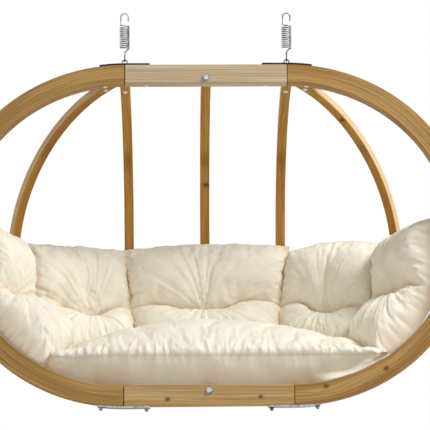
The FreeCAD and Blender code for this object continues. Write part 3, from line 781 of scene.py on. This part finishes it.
def settle(name, bm, held, taut, pressure, spare, most):
    """Let spare cloth find its folds over the filling.

    held gives how firmly each point is sewn down, and taut where the cloth has none to spare.
    """
    mesh = bpy.data.meshes.new(name)
    bm.to_mesh(mesh)
    trial = add_object(name, mesh)
    pins = trial.vertex_groups.new(name="sewn")
    flat = trial.vertex_groups.new(name="taut")
    for index, firmness in enumerate(held):
        pins.add([index], firmness, "REPLACE")
        flat.add([index], taut[index], "REPLACE")
    settings = trial.modifiers.new("settle", "CLOTH").settings
    cotton_cloth = {"quality": 6, "mass": 0.2, "air_damping": 2.0, "tension_stiffness": 15.0,
                    "compression_stiffness": 15.0, "shear_stiffness": 5.0, "bending_stiffness": 0.15}
    sewing = {"vertex_group_mass": "sewn", "pin_stiffness": 1.0, "vertex_group_shrink": "taut",
              "shrink_min": -spare, "shrink_max": 0.0}
    filling = {"use_pressure": True, "uniform_pressure_force": pressure}
    for key, value in {**cotton_cloth, **sewing, **filling}.items():
        setattr(settings, key, value)
    settings.effector_weights.gravity = 0.0
    for step in range(1, settle_frames + 1):
        bpy.context.scene.frame_set(step)
    settled = trial.evaluated_get(bpy.context.evaluated_depsgraph_get()).data
    for vert, moved in zip(bm.verts, settled.vertices):
        shift = moved.co - vert.co
        if shift.length > most:
            shift *= most / shift.length
        vert.co += shift
    bpy.data.objects.remove(trial)
    bpy.data.meshes.remove(mesh)
    bpy.context.scene.frame_set(1)


def crumple(bm, verts, seed):
    """Small creases of washed cotton, laid over the large folds."""
    bm.normal_update()
    shifts = [noise.noise(vert.co * 26 + seed) * coarse_crumple
              + noise.noise(vert.co * 70 - seed) * fine_crumple for vert in verts]
    for vert, shift in zip(verts, shifts):
        vert.co += vert.normal * shift


def sewn_cushion(name, columns, rows, front, back, cloth_size, held_at, taut_at, painted_shade_at, fold_at, slack,
                 seed):
    """Closed cushion of two sheets, front and back, sewn together round their edge."""
    bm = bmesh.new()
    bmesh.ops.create_grid(bm, x_segments=columns, y_segments=rows, size=1.0)
    cloth_layer = bm.verts.layers.float_vector.new("cloth")
    painted_shade_layer = bm.verts.layers.float.new("fold")
    held, taut, folds = [], [], []
    for vert in bm.verts:
        across, up = vert.co.x, (vert.co.y + 1) / 2
        vert[cloth_layer] = (across * cloth_size[0] / 2 + seed.x, up * cloth_size[1], 0)
        # Each place of the front sheet keeps its painted shade for the cotton.
        vert[painted_shade_layer] = painted_shade_at(across, up)
        held.append(1.0 if vert.is_boundary else held_at(across, up))
        taut.append(taut_at(across, up))
        vert.co = front(across, up)
        folds.append((vert.co - back(across, up)).normalized() * fold_at(across, up))
    settle(name, bm, held, taut, *slack)
    loose = [vert for vert, firmness in zip(bm.verts, held) if firmness < 0.5]
    bmesh.ops.smooth_vert(bm, verts=loose, factor=0.25, use_axis_x=True, use_axis_y=True, use_axis_z=True)
    crumple(bm, loose, seed)
    for vert, fold in zip(bm.verts, folds):
        vert.co += fold
    made = bmesh.ops.create_grid(bm, x_segments=columns, y_segments=rows, size=1.0)
    for vert in made["verts"]:
        across, up = vert.co.x, (vert.co.y + 1) / 2
        vert[cloth_layer] = (across * cloth_size[0] / 2 + seed.x, up * cloth_size[1], 0)
        vert.co = back(across, up)
    bmesh.ops.remove_doubles(bm, verts=[v for v in bm.verts if v.is_boundary], dist=1e-5)
    bmesh.ops.recalc_face_normals(bm, faces=bm.faces)
    piece = hung_piece(name, bm, unbleached)
    rounding = piece.modifiers.new("rounding", "SUBSURF")
    rounding.levels = 1
    rounding.render_levels = 1
    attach(piece, "chair")
    return piece


def pillow(name, place_at, width, seed, edges, top, bottom, crowns, tuft_at, smile, stand=(0, 0, 0, 0),
           rib_shares=(-1, 1), shaded=(1, 1), square=4):
    """Tufted pillow: place_at puts a point of the bowl, at share across, rise and inset, in its place.

    edges are the shares across at lower left, upper left, lower right and upper right; top and bottom
    are the heights of the seams at their left end, middle and right end; crowns are the distances from
    the ribs of the upper lobe, the lower lobe and the tuft; tuft_at is the tuft's share across and up.
    smile is how far the crease rises to its left and right end; stand lifts each corner off the ribs:
    lower left, upper left, lower right, upper right. rib_shares are the places across where ribs bear on
    its back; shaded gives painted shade to the sides that press on a neighbour; square is how boxy they are.
    """
    wander = Vector((seed, 3.1 * seed, 1.7))
    upper, lower, tuft = crowns
    tuft_across, tuft_up = tuft_at

    def off_tuft(across):
        return abs(across - tuft_across)

    def crease_up(across):
        return tuft_up + smile[across > tuft_across] * eased(off_tuft(across), 0.10, 0.60)

    def crown(across, up):
        """Distance of the front sheet from the ribs before the cloth settles."""
        crease = crease_up(across)
        drawn = tuft + (0.70 * lower - tuft) * eased(off_tuft(across), 0.05, 0.75)
        if up > crease:
            share, full, crest, swift = (up - crease) / (1 - crease), upper, 0.45, 0.85
            funnel = crest + 0.30 * math.exp(-(off_tuft(across) / 0.30) ** 2)
        else:
            share, full, crest, swift = (crease - up) / crease, lower, 0.50, 0.50
            funnel = crest
        rise = math.sin(math.pi / 2 * min(share / funnel, 1)) ** swift
        fall = math.sqrt(max(1 - max((share - crest) / (1 - crest), 0) ** lobe_roundness, 0))
        thickness = pillow_seam + (drawn + (full - drawn) * rise - pillow_seam) * fall
        return pillow_seam + (thickness - pillow_seam) * math.sqrt(max(1 - abs(across) ** square, 0))

    def edge_gap(across, up):
        """Distance over the cloth to the nearest seam."""
        return min((1 - abs(across)) * width / 2, up * pillow_height, (1 - up) * pillow_height)

    def from_tuft(across, up):
        """Way over the flat cloth from the tuft to a place."""
        return Vector(((across - tuft_across) * width / 2, (up - tuft_up) * pillow_height, 0))

    def radial(across, up):
        """Soft folds that fan out from the tuft."""
        reach = from_tuft(across, up)
        way = reach.normalized()
        strength = eased(reach.length, 0.01, 0.06) * math.exp(-reach.length / fold_fade)
        broad = noise.noise(Vector((way.x * 4.2, way.y * 4.2, reach.length * 1.6)) + wander)
        ridge = 0.35 - abs(noise.noise(Vector((way.x * 11, way.y * 11, reach.length * 0.8)) - wander))
        return strength * (broad_fold * broad + narrow_fold * ridge)

    def creases(across, up):
        """Sharp thin folds that run out from the tuft."""
        reach = from_tuft(across, up)
        way = reach.normalized()
        strength = eased(reach.length, 0.02, 0.06) * math.exp(-reach.length / crease_fade)
        strength *= eased(edge_gap(across, up), 0.0, 0.04)
        some = eased(noise.noise(way * 2.3 + wander), -0.15, 0.25)
        line = noise.noise(Vector((way.x * 5, way.y * 5, reach.length * 1.5)) + 2 * wander)
        return crease_height * strength * some * max(1 - abs(line) / sharp_line, 0)

    def puckers(across, up):
        """Gathers along the seams."""
        spot = Vector((across * width / 2, up * pillow_height, 0)) * 52 + wander
        return pucker_height * math.exp(-edge_gap(across, up) / pucker_reach) * noise.noise(spot)

    def outline(across, up):
        """Share across and rise: sides and top drawn in between the corners, wavy along the seams."""
        level = 2 * up - 1
        wave = noise.noise(Vector((across * 4, level * 4, 0)) + wander)
        gather = noise.noise(Vector((across * 11, level * 11, 5)) + wander)
        left = edges[0] + (edges[1] - edges[0]) * up
        right = edges[2] + (edges[3] - edges[2]) * up
        draw_in = side_draw * (1 - level * level) * across
        ruffle = (side_wave * wave + side_gather * gather) * across * across
        narrow = left + (right - left) * (across + 1) / 2 - draw_in + ruffle

        def seam_height(heights):
            bow = heights[1] - (heights[0] + heights[2]) / 2
            return heights[0] + (heights[2] - heights[0]) * (across + 1) / 2 + bow * (1 - across * across)

        ripple = seam_wave * wave + seam_gather * gather
        low = math.asin((seam_height(bottom) + ripple) / rib_inner_height)
        high = math.asin((seam_height(top) + ripple) / rib_inner_height)
        return narrow, low + (high - low) * up

    def standing_off(across, up):
        """How far the corners lift a place off the ribs."""
        left = stand[0] * (1 - up) ** 2 + stand[1] * up ** 2
        right = stand[2] * (1 - up) ** 2 + stand[3] * up ** 2
        return left + (right - left) * (across + 1) / 2

    def front(across, up):
        narrow, lift = outline(across, up)
        on_edge = edge_gap(across, up) < 1e-6
        give = 0.0 if on_edge else radial(across, up) + puckers(across, up)
        return place_at(narrow, lift, crown(across, up) + give + standing_off(across, up))

    def back(across, up):
        narrow, lift = outline(across, up)
        level = 2 * up - 1
        round_off = (max(1 - across ** 4, 0) * max(1 - level ** 4, 0)) ** 0.45
        bed = max(standing_off(across, up), -pillow_seam * (1 - round_off))
        clear = min(abs(across - rib) for rib in rib_shares) * width / 2
        swell = pillow_swell * eased(clear, rib_width / 2, 0.11) * max(1 - level ** 4, 0)
        at_tuft = from_tuft(across, up).length
        dimple = pillow_dimple * math.exp(-(at_tuft / dimple_reach) ** 2)
        spot = Vector((across * width / 2, up * pillow_height, 9)) + wander
        crease = back_crease * noise.noise(spot * 12) * eased(clear, rib_width / 2, 0.06)
        inset = pillow_seam + (rib_clearance - pillow_seam) * round_off + bed
        return place_at(narrow, lift, inset + (dimple - swell + abs(crease)) * round_off)

    def held_at(across, up):
        """How firmly a place is sewn down: fully at the tuft, less and less along the crease."""
        near = abs(up - crease_up(across)) * pillow_height < cloth_mesh * 0.6
        if not near:
            return 0.0
        if off_tuft(across) * width / 2 < tuft_half_length:
            return 1.0
        return 0.8 * (1 - eased(off_tuft(across), 0.35, 0.95))

    def painted_shade_at(across, up):
        """Painted shade: how deep in a fold a place lies, along the crease, at the seams and round the tuft.
        """
        off = abs(up - crease_up(across)) * pillow_height
        side = (1 - abs(across)) * width / 2
        crease = crease_painted_shade * math.exp(-off / crease_width) * (1 - 0.5 * eased(off_tuft(across), 0.5, 1.0))
        side_seam = side_seam_painted_shade * shaded[across > 0] * math.exp(-side / (1.5 * crease_width))
        seam = seam_painted_shade * math.exp(-edge_gap(across, up) / crease_width)
        at_tuft = tuft_painted_shade * math.exp(-from_tuft(across, up).length / tuft_painted_shade_reach)
        return min(crease + max(seam, side_seam) + at_tuft, 1.0)

    columns = round(width / cloth_mesh)
    rows = round(pillow_height / cloth_mesh)
    piece = sewn_cushion(name + "_cover", columns, rows, front, back, (width, pillow_height), held_at,
                         lambda across, up: 0.0, painted_shade_at, creases,
                         (pillow_pressure, pillow_spare, pillow_give), wander)
    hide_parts(name)


centre_half = arc_x - pillow_rib_overlap
rib_overlap_angle = pillow_rib_overlap / (rib_inner_reach - rib_setback)
arm_ring_angle = math.radians(82.1)


def between_back_ribs(across, lift, inset):
    return Vector((across * centre_half, *rib_face(lift, inset)))


def fanned(side, first, last):
    """Placer for a pillow between two angles round the upright axis of a side rib."""
    def place_at(across, lift, inset):
        angle = (first + last) / 2 + across * side * (last - first) / 2
        spot = Matrix.Rotation(-side * angle, 3, "Z") @ Vector((0, *rib_face(lift, inset)))
        return spot + Vector((side * side_axis_x, 0, 0))
    return place_at


back_angles = (rib_overlap_angle, side_rib_angle - rib_overlap_angle)
arm_angles = (side_rib_angle + rib_overlap_angle, arm_ring_angle)
pillow_half_depth = 0.06
fan_radius = rib_inner_reach - rib_setback - pillow_half_depth
back_width = (back_angles[1] - back_angles[0]) * fan_radius
arm_width = (arm_angles[1] - arm_angles[0]) * fan_radius
back_crowns = (0.150, 0.125, 0.060)
arm_crowns = (0.150, 0.130, 0.090)
pillow("centre_back_pillow", between_back_ribs, 2 * centre_half, 1.0, (-0.96, -1.15, 0.95, 1.15),
       (0.064, 0.090, 0.078), (-0.37, -0.37, -0.37), back_crowns, (-0.03, 0.345), (0.060, 0.095),
       rib_shares=(-1, 0, 1))
pillow("left_back_pillow", fanned(-1, *back_angles), back_width, 5.3, (-1.12, -1.14, 1.28, 0.99),
       (0.052, 0.072, 0.064), (-0.44, -0.405, -0.375), back_crowns, (0.16, 0.338), (0.100, 0.095))
pillow("right_back_pillow", fanned(1, *back_angles), back_width, 9.7, (-1.28, -0.99, 0.97, 1.0),
       (0.045, 0.086, 0.038), (-0.375, -0.40, -0.41), back_crowns, (-0.02, 0.333), (0.120, 0.070))
pillow("left_arm_pillow", fanned(-1, *arm_angles), arm_width, 7.3, (-0.90, -1.0, 0.94, 0.80),
       (0.090, 0.086, 0.058), (-0.468, -0.465, -0.455), arm_crowns, (0.0, 0.50), (0.02, 0.02),
       (-0.020, 0.0, 0.085, 0.020), shaded=(0, 1), square=9)
pillow("right_arm_pillow", fanned(1, *arm_angles), arm_width, 11.7, (-1.20, -1.05, 0.96, 1.0),
       (0.045, 0.084, 0.072), (-0.43, -0.44, -0.45), arm_crowns, (0.0, 0.45), (0.01, 0.05),
       (0.035, 0.030, -0.012, 0.010), shaded=(1, 0), square=6)

# Seat cushion
# One long cushion of the same cotton lies in the bowl behind the lower beam. Its top and its front panel
# are sewn together along a straight seam, where the fuller top is gathered in short puckers.
seat_front = 0.022
seat_foot = 0.088
seat_end_foot = 0.046
seat_half_width = 0.606
seat_left_half = 0.536
seat_tuck = 0.085
seat_splay = 0.018
seat_seam_height = -0.409
seat_seam_fall = 0.012
seat_low = -0.429
seat_rear_reach = 0.356
seat_rear_height = -0.276
seat_rear_fall = 0.125
seat_roll = 0.012
seat_roll_share = 0.14
seat_crown = 0.038
seat_end_crown = 0.016
seat_panel_bulge = 0.010
seat_panel_share = 0.26
seat_depth = 0.50
seat_tip = 0.78
seat_tip_rise = 0.030
seat_blunt = 0.94
lip_depth = 0.032
lip_share = 0.30
lip_tip_share = 0.90
lip_start = 0.33
lip_full = 0.43
lip_tip_start = 0.46
lip_tip_full = 0.58
end_reach = 0.02
twist_reach = 0.06
gather_reach_up = 0.055
gather_reach_down = 0.030
# Painted shade in the gathered ends and under the ridge of the seam.
end_painted_shade = 0.5
stitch_painted_shade = 0.25
underside_gap = 0.004
under_share = 0.70
rear_bulge = 0.012
seam_pull = 0.0035
ruffle_across = 0.010
ruffle_lift = 0.014
panel_fold = 0.009
panel_pucker = 0.007
end_twist = 0.012
top_gather = 0.010
top_fold = 0.005
seat_fold_height = 0.008
stitch_drop = 0.014
stitch_width = 0.0045
stitch_ridge = 0.0035
seat_pressure = 0.8
seat_spare = 0.035
seat_give = 0.020
seat_seed = Vector((21.0, 4.0, 8.0))


def seat_noise(x, y, z):
    return noise.noise(Vector((x, y, z)) + seat_seed)


def bowl_height(x, depth):
    """Height of the ribs' inner face at a place in the bowl."""
    distance = math.hypot(max(abs(x) - side_axis_x, 0), depth)
    return -rib_inner_height * math.sqrt(1 - ((distance + rib_setback) / rib_inner_reach) ** 2) + soft_gap


def seat_rear(x):
    """Depth of the rear edge, which rounds off at both ends."""
    return math.sqrt(max(seat_rear_reach ** 2 - max(abs(x) - side_axis_x, 0) ** 2, 0.0001))


def seat_share(x):
    """How far out a place across is, as a share of the seat's half on that side."""
    return abs(x) / (seat_half_width if x > 0 else seat_left_half)


def seam_level(x):
    """Height of the front seam before it is gathered, a little lower towards both ends."""
    return seat_seam_height - seat_seam_fall * eased(seat_share(x), 0.55, 0.95)


def seat_top_height(x, depth):
    """Height of the smooth top between the front seam and the rear edge."""
    share = (depth - seat_front) / (seat_rear(x) - seat_front)
    across = seat_share(x)
    seam = seam_level(x)
    rear_height = seat_rear_height - seat_rear_fall * across ** 2
    crown = seat_end_crown + (seat_crown - seat_end_crown) * (1 - across ** 2)
    rear_height += (seam + seat_tip_rise - rear_height) * eased(across, seat_tip, seat_blunt)
    rise = (rear_height - seam) * share + crown * (4 * share * (1 - share)) ** 0.5
    closing = min(max((across - seat_blunt) / (1 - seat_blunt), 0), 1)
    return seam + rise * math.sqrt(1 - closing ** 2)


def seat_x(across, up):
    """Place across: the ends are tucked in towards the rear, and the left one splays at its foot."""
    half = seat_half_width if across > 0 else seat_left_half
    if up > seat_panel_share:
        half -= seat_tuck * ((up - seat_panel_share) / (1 - seat_panel_share)) ** 1.5
    elif across < 0:
        half += seat_splay * (1 - up / seat_panel_share)
    return across * half


def seam_height(x):
    """Height of the front seam, which the gathers pull a little up and down."""
    return seam_level(x) + seam_pull * seat_noise(x * 34, 7, 1)


def seat_foot_at(across):
    """Depth of the panel's foot, which comes forward under the ends."""
    return seat_foot + (seat_end_foot - seat_foot) * eased(abs(across), 0.84, 1.0)


def seat_lip(x, foot):
    """Way from the panel's foot to where its right end spreads over the inner edge of the ring."""
    low = min(bowl_height(x, foot) + underside_gap, seat_low)
    ring_edge = -inner_height * math.sqrt(1 - (max(x - arc_x, 0) / inner_width) ** 2) + underside_gap
    return Vector((0, lip_depth - foot, ring_edge - low)) * eased(x, lip_start, lip_full)


def seat_front_sheet(across, up):
    """Front panel from the bowl up to the seam, then the top from the seam to the rear edge."""
    x = seat_x(across, up)
    ruffle = math.exp(-(1 - abs(across)) / end_reach) * seat_noise(x * 20, up * 34, 3)
    if up < seat_panel_share:
        share = up / seat_panel_share
        foot = seat_foot_at(across)
        low = min(bowl_height(x, foot) + underside_gap, seat_low)
        bulge = seat_panel_bulge * math.sin(math.pi * share ** 1.5) ** 0.8 * (1 - across ** 4)
        folds = seat_noise(x * 15, share * 1.5, 2)
        pucker = math.exp(-(1 - share) / 0.3) * seat_noise(x * 42, share, 0)
        twist = math.exp(-(1 - abs(across)) / twist_reach) * seat_noise(x * 50, share * 3, 6)
        give = panel_fold * folds + panel_pucker * pucker + end_twist * twist
        give *= math.sin(math.pi * share) ** 0.5
        depth = foot + (seat_front - foot) * share
        height = low + (seam_height(x) - low) * share
        on_panel = Vector((x + ruffle_across * ruffle, depth - bulge - give, height))
        spread_up = lip_share + (lip_tip_share - lip_share) * eased(x, lip_tip_start, lip_tip_full)
        return on_panel + seat_lip(x, foot) * max(1 - share / spread_up, 0)
    share = (up - seat_panel_share) / (1 - seat_panel_share)
    depth = seat_front + (seat_rear(x) - seat_front) * share
    gather = math.exp(-share / 0.12) * seat_noise(x * 60, share * 4, 0)
    broad = seat_noise(x * 11, share * 2.5, 4) * math.sin(math.pi * share)
    lift = 0.0 if share < 1e-6 or share > 1 - 1e-6 else top_gather * gather + top_fold * broad
    lift += (seam_height(x) - seam_level(x)) * (1 - share) ** 6
    roll = seat_roll * math.sin(math.pi * min(share / seat_roll_share, 1)) * (1 - across ** 4)
    height = seat_top_height(x, depth) + lift + ruffle_lift * ruffle
    return Vector((x + ruffle_across * ruffle, depth - roll, height))


def seat_under_sheet(across, up):
    """Underside in the bowl, then up the rear, closing on the front sheet at both ends."""
    x = seat_x(across, up)
    rear = seat_rear(x)
    if up < under_share:
        foot = seat_foot_at(across)
        depth = foot + (rear - foot) * up / under_share
        lying = Vector((x, depth, min(bowl_height(x, depth) + underside_gap, seat_low)))
        lying += seat_lip(x, foot) * max(1 - up / 0.1, 0)
    else:
        share = (up - under_share) / (1 - under_share)
        low = min(bowl_height(x, rear) + underside_gap, seat_low)
        height = low + (seat_top_height(x, rear) - low) * share
        lying = Vector((x, rear + rear_bulge * math.sin(math.pi * share), height))
    return lying.lerp(seat_front_sheet(across, up), eased(abs(across), 0.95, 1.0))


def seat_folds(across, up):
    """Short sharp gathers that cross the front edge, and the ridge of the seam below it."""
    x = seat_x(across, up)
    off_seam = (up - seat_panel_share) * seat_depth
    slant = off_seam * 0.8 * seat_noise(x * 5, 2, 8)
    line = seat_noise((x + slant) * 34, off_seam * 6, 5)
    reach = gather_reach_up if off_seam > 0 else gather_reach_down
    gathers = seat_fold_height * math.exp(-abs(off_seam) / reach) * max(1 - abs(line) / sharp_line, 0)
    return gathers + stitch_ridge * math.exp(-((off_seam + stitch_drop) / stitch_width) ** 2)


def seat_held(across, up):
    """The seam is sewn down fast, the panel below it is held half as firmly, and the top lies loose."""
    if abs(up - seat_panel_share) * seat_depth < cloth_mesh * 0.6:
        return 1.0
    return 0.5 if up < seat_panel_share else 0.0


def seat_taut(across, up):
    """Only the top has cloth to spare."""
    return 1.0 if up < seat_panel_share - 0.02 else 0.0


def seat_painted_shade_at(across, up):
    """Painted shade under the ridge of the panel's seam, and warmer painted shade in the gathered ends."""
    below = (seat_panel_share - up) * seat_depth
    ends = end_painted_shade * math.exp(-(1 - abs(across)) / end_reach)
    under = (below - stitch_drop - 2 * stitch_width) / stitch_width
    return min(stitch_painted_shade * math.exp(-under ** 2) + ends, 1.0)


seat_columns = round(2 * seat_half_width / cloth_mesh)
seat_rows = round(seat_depth / cloth_mesh)
seat = sewn_cushion("seat_cushion_cover", seat_columns, seat_rows, seat_front_sheet, seat_under_sheet,
                    (2 * seat_half_width, seat_depth), seat_held, seat_taut, seat_painted_shade_at, seat_folds,
                    (seat_pressure, seat_spare, seat_give), seat_seed)
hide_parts("seat_cushion")

# Room
# A plain pale floor, painted and finely speckled, lies below the hanging chair and fades out at its rim.
# The backdrop looks white, but the light that it gives is dimmer and warmer. A soft key light stands high
# on the right, with a broad weak fill low in front.
floor_drop = 0.45
floor_radius = 2.5
room_light = 0.42
room_tint = (1.0, 0.95, 0.87, 1.0)
white = (1.0, 1.0, 1.0, 1.0)
lamp_tint = (0.92, 0.955, 1.0)

world = bpy.data.worlds.new("studio")
bpy.context.scene.world = world
world.use_nodes = True
sky = world.node_tree
path = node(sky, "LightPath").outputs
mirrored = maths(sky, "MAXIMUM", path["Is Glossy Ray"], path["Is Transmission Ray"])
seen = maths(sky, "MAXIMUM", path["Is Camera Ray"], mirrored)
backdrop = sky.nodes["Background"]
sky.links.new(blended(sky, seen, room_tint, white), backdrop.inputs["Color"])
sky.links.new(maths(sky, "MULTIPLY_ADD", seen, 1 - room_light, room_light), backdrop.inputs["Strength"])

bm = bmesh.new()
bmesh.ops.create_circle(bm, cap_ends=True, segments=96, radius=floor_radius)
bmesh.ops.translate(bm, vec=(0, 0, cad_low.z - floor_drop), verts=bm.verts)
floor_mesh = bpy.data.meshes.new("floor")
bm.to_mesh(floor_mesh)
bm.free()
floor_paint = bpy.data.materials.new("floor_paint")
floor_paint.use_nodes = True
floor_tree = floor_paint.node_tree
floor_shader = floor_tree.nodes["Principled BSDF"]
floor_spot = node(floor_tree, "TexCoord").outputs["Object"]
split = node(floor_tree, "SeparateXYZ", {0: floor_spot}).outputs
across_floor = maths(floor_tree, "MULTIPLY", split["X"], split["X"])
squared = maths(floor_tree, "MULTIPLY_ADD", split["Y"], split["Y"], across_floor)
from_middle = maths(floor_tree, "SQRT", squared)
floor_tree.links.new(spread(floor_tree, from_middle, floor_radius, 0.5 * floor_radius),
                     floor_shader.inputs["Alpha"])
speck = node(floor_tree, "TexNoise", {"Vector": floor_spot, "Scale": 40.0}).outputs[0]
floor_tree.links.new(blended(floor_tree, speck, srgb(242, 242, 240), srgb(236, 236, 234)),
                     floor_shader.inputs["Base Color"])
floor_shader.inputs["Roughness"].default_value = 0.9
floor_mesh.materials.append(floor_paint)
floor = add_object("floor", floor_mesh)


def lamp(name, at, aim, size, power):
    """Round soft light at a place, turned to what it lights."""
    light = bpy.data.lights.new(name, "AREA")
    light.color = lamp_tint
    light.shape = "DISK"
    light.size = size
    light.energy = power
    lit = add_object(name, light)
    lit.location = at
    lit.rotation_euler = (Vector(aim) - Vector(at)).to_track_quat("-Z", "Y").to_euler()


middle = (cad_low + cad_high) / 2
lamp("key", (3.05, -1.35, 2.65), middle, 1.5, 192)
lamp("fill", (-0.6, -4.2, -1.4), middle, 2.0, 18)

# Camera
# A long lens a little left of the chair's middle, level with the sitters and turned slightly aside.
# Its numbers come from fitting the ring and the ribs to the photo; sight is the pixel of what lies square
# ahead of it, before it is turned.
frame_pixels = 430
focal_pixels = 1642.6
sight_across, sight_down = 177.93, 233.99
viewer_offset = Vector((-0.101, -5.6105, -0.0138))
ring_centre = hung @ Vector((0, 0, 0))
camera = bpy.data.cameras.new("camera")
camera.sensor_width = 36.0
camera.lens = focal_pixels * camera.sensor_width / frame_pixels
viewer = add_object("camera", camera)
viewer.location = ring_centre + viewer_offset
yaw = math.atan((frame_pixels / 2 - sight_across) / focal_pixels)
pitch = math.atan((sight_down - frame_pixels / 2) / focal_pixels)
roll = math.radians(-0.34)
turn = (Matrix.Rotation(-yaw, 4, "Z") @ Matrix.Rotation(math.pi / 2 + pitch, 4, "X")
        @ Matrix.Rotation(roll, 4, "Z"))
viewer.rotation_euler = turn.to_euler()
bpy.context.scene.camera = viewer
bpy.context.scene.view_settings.view_transform = "Standard"
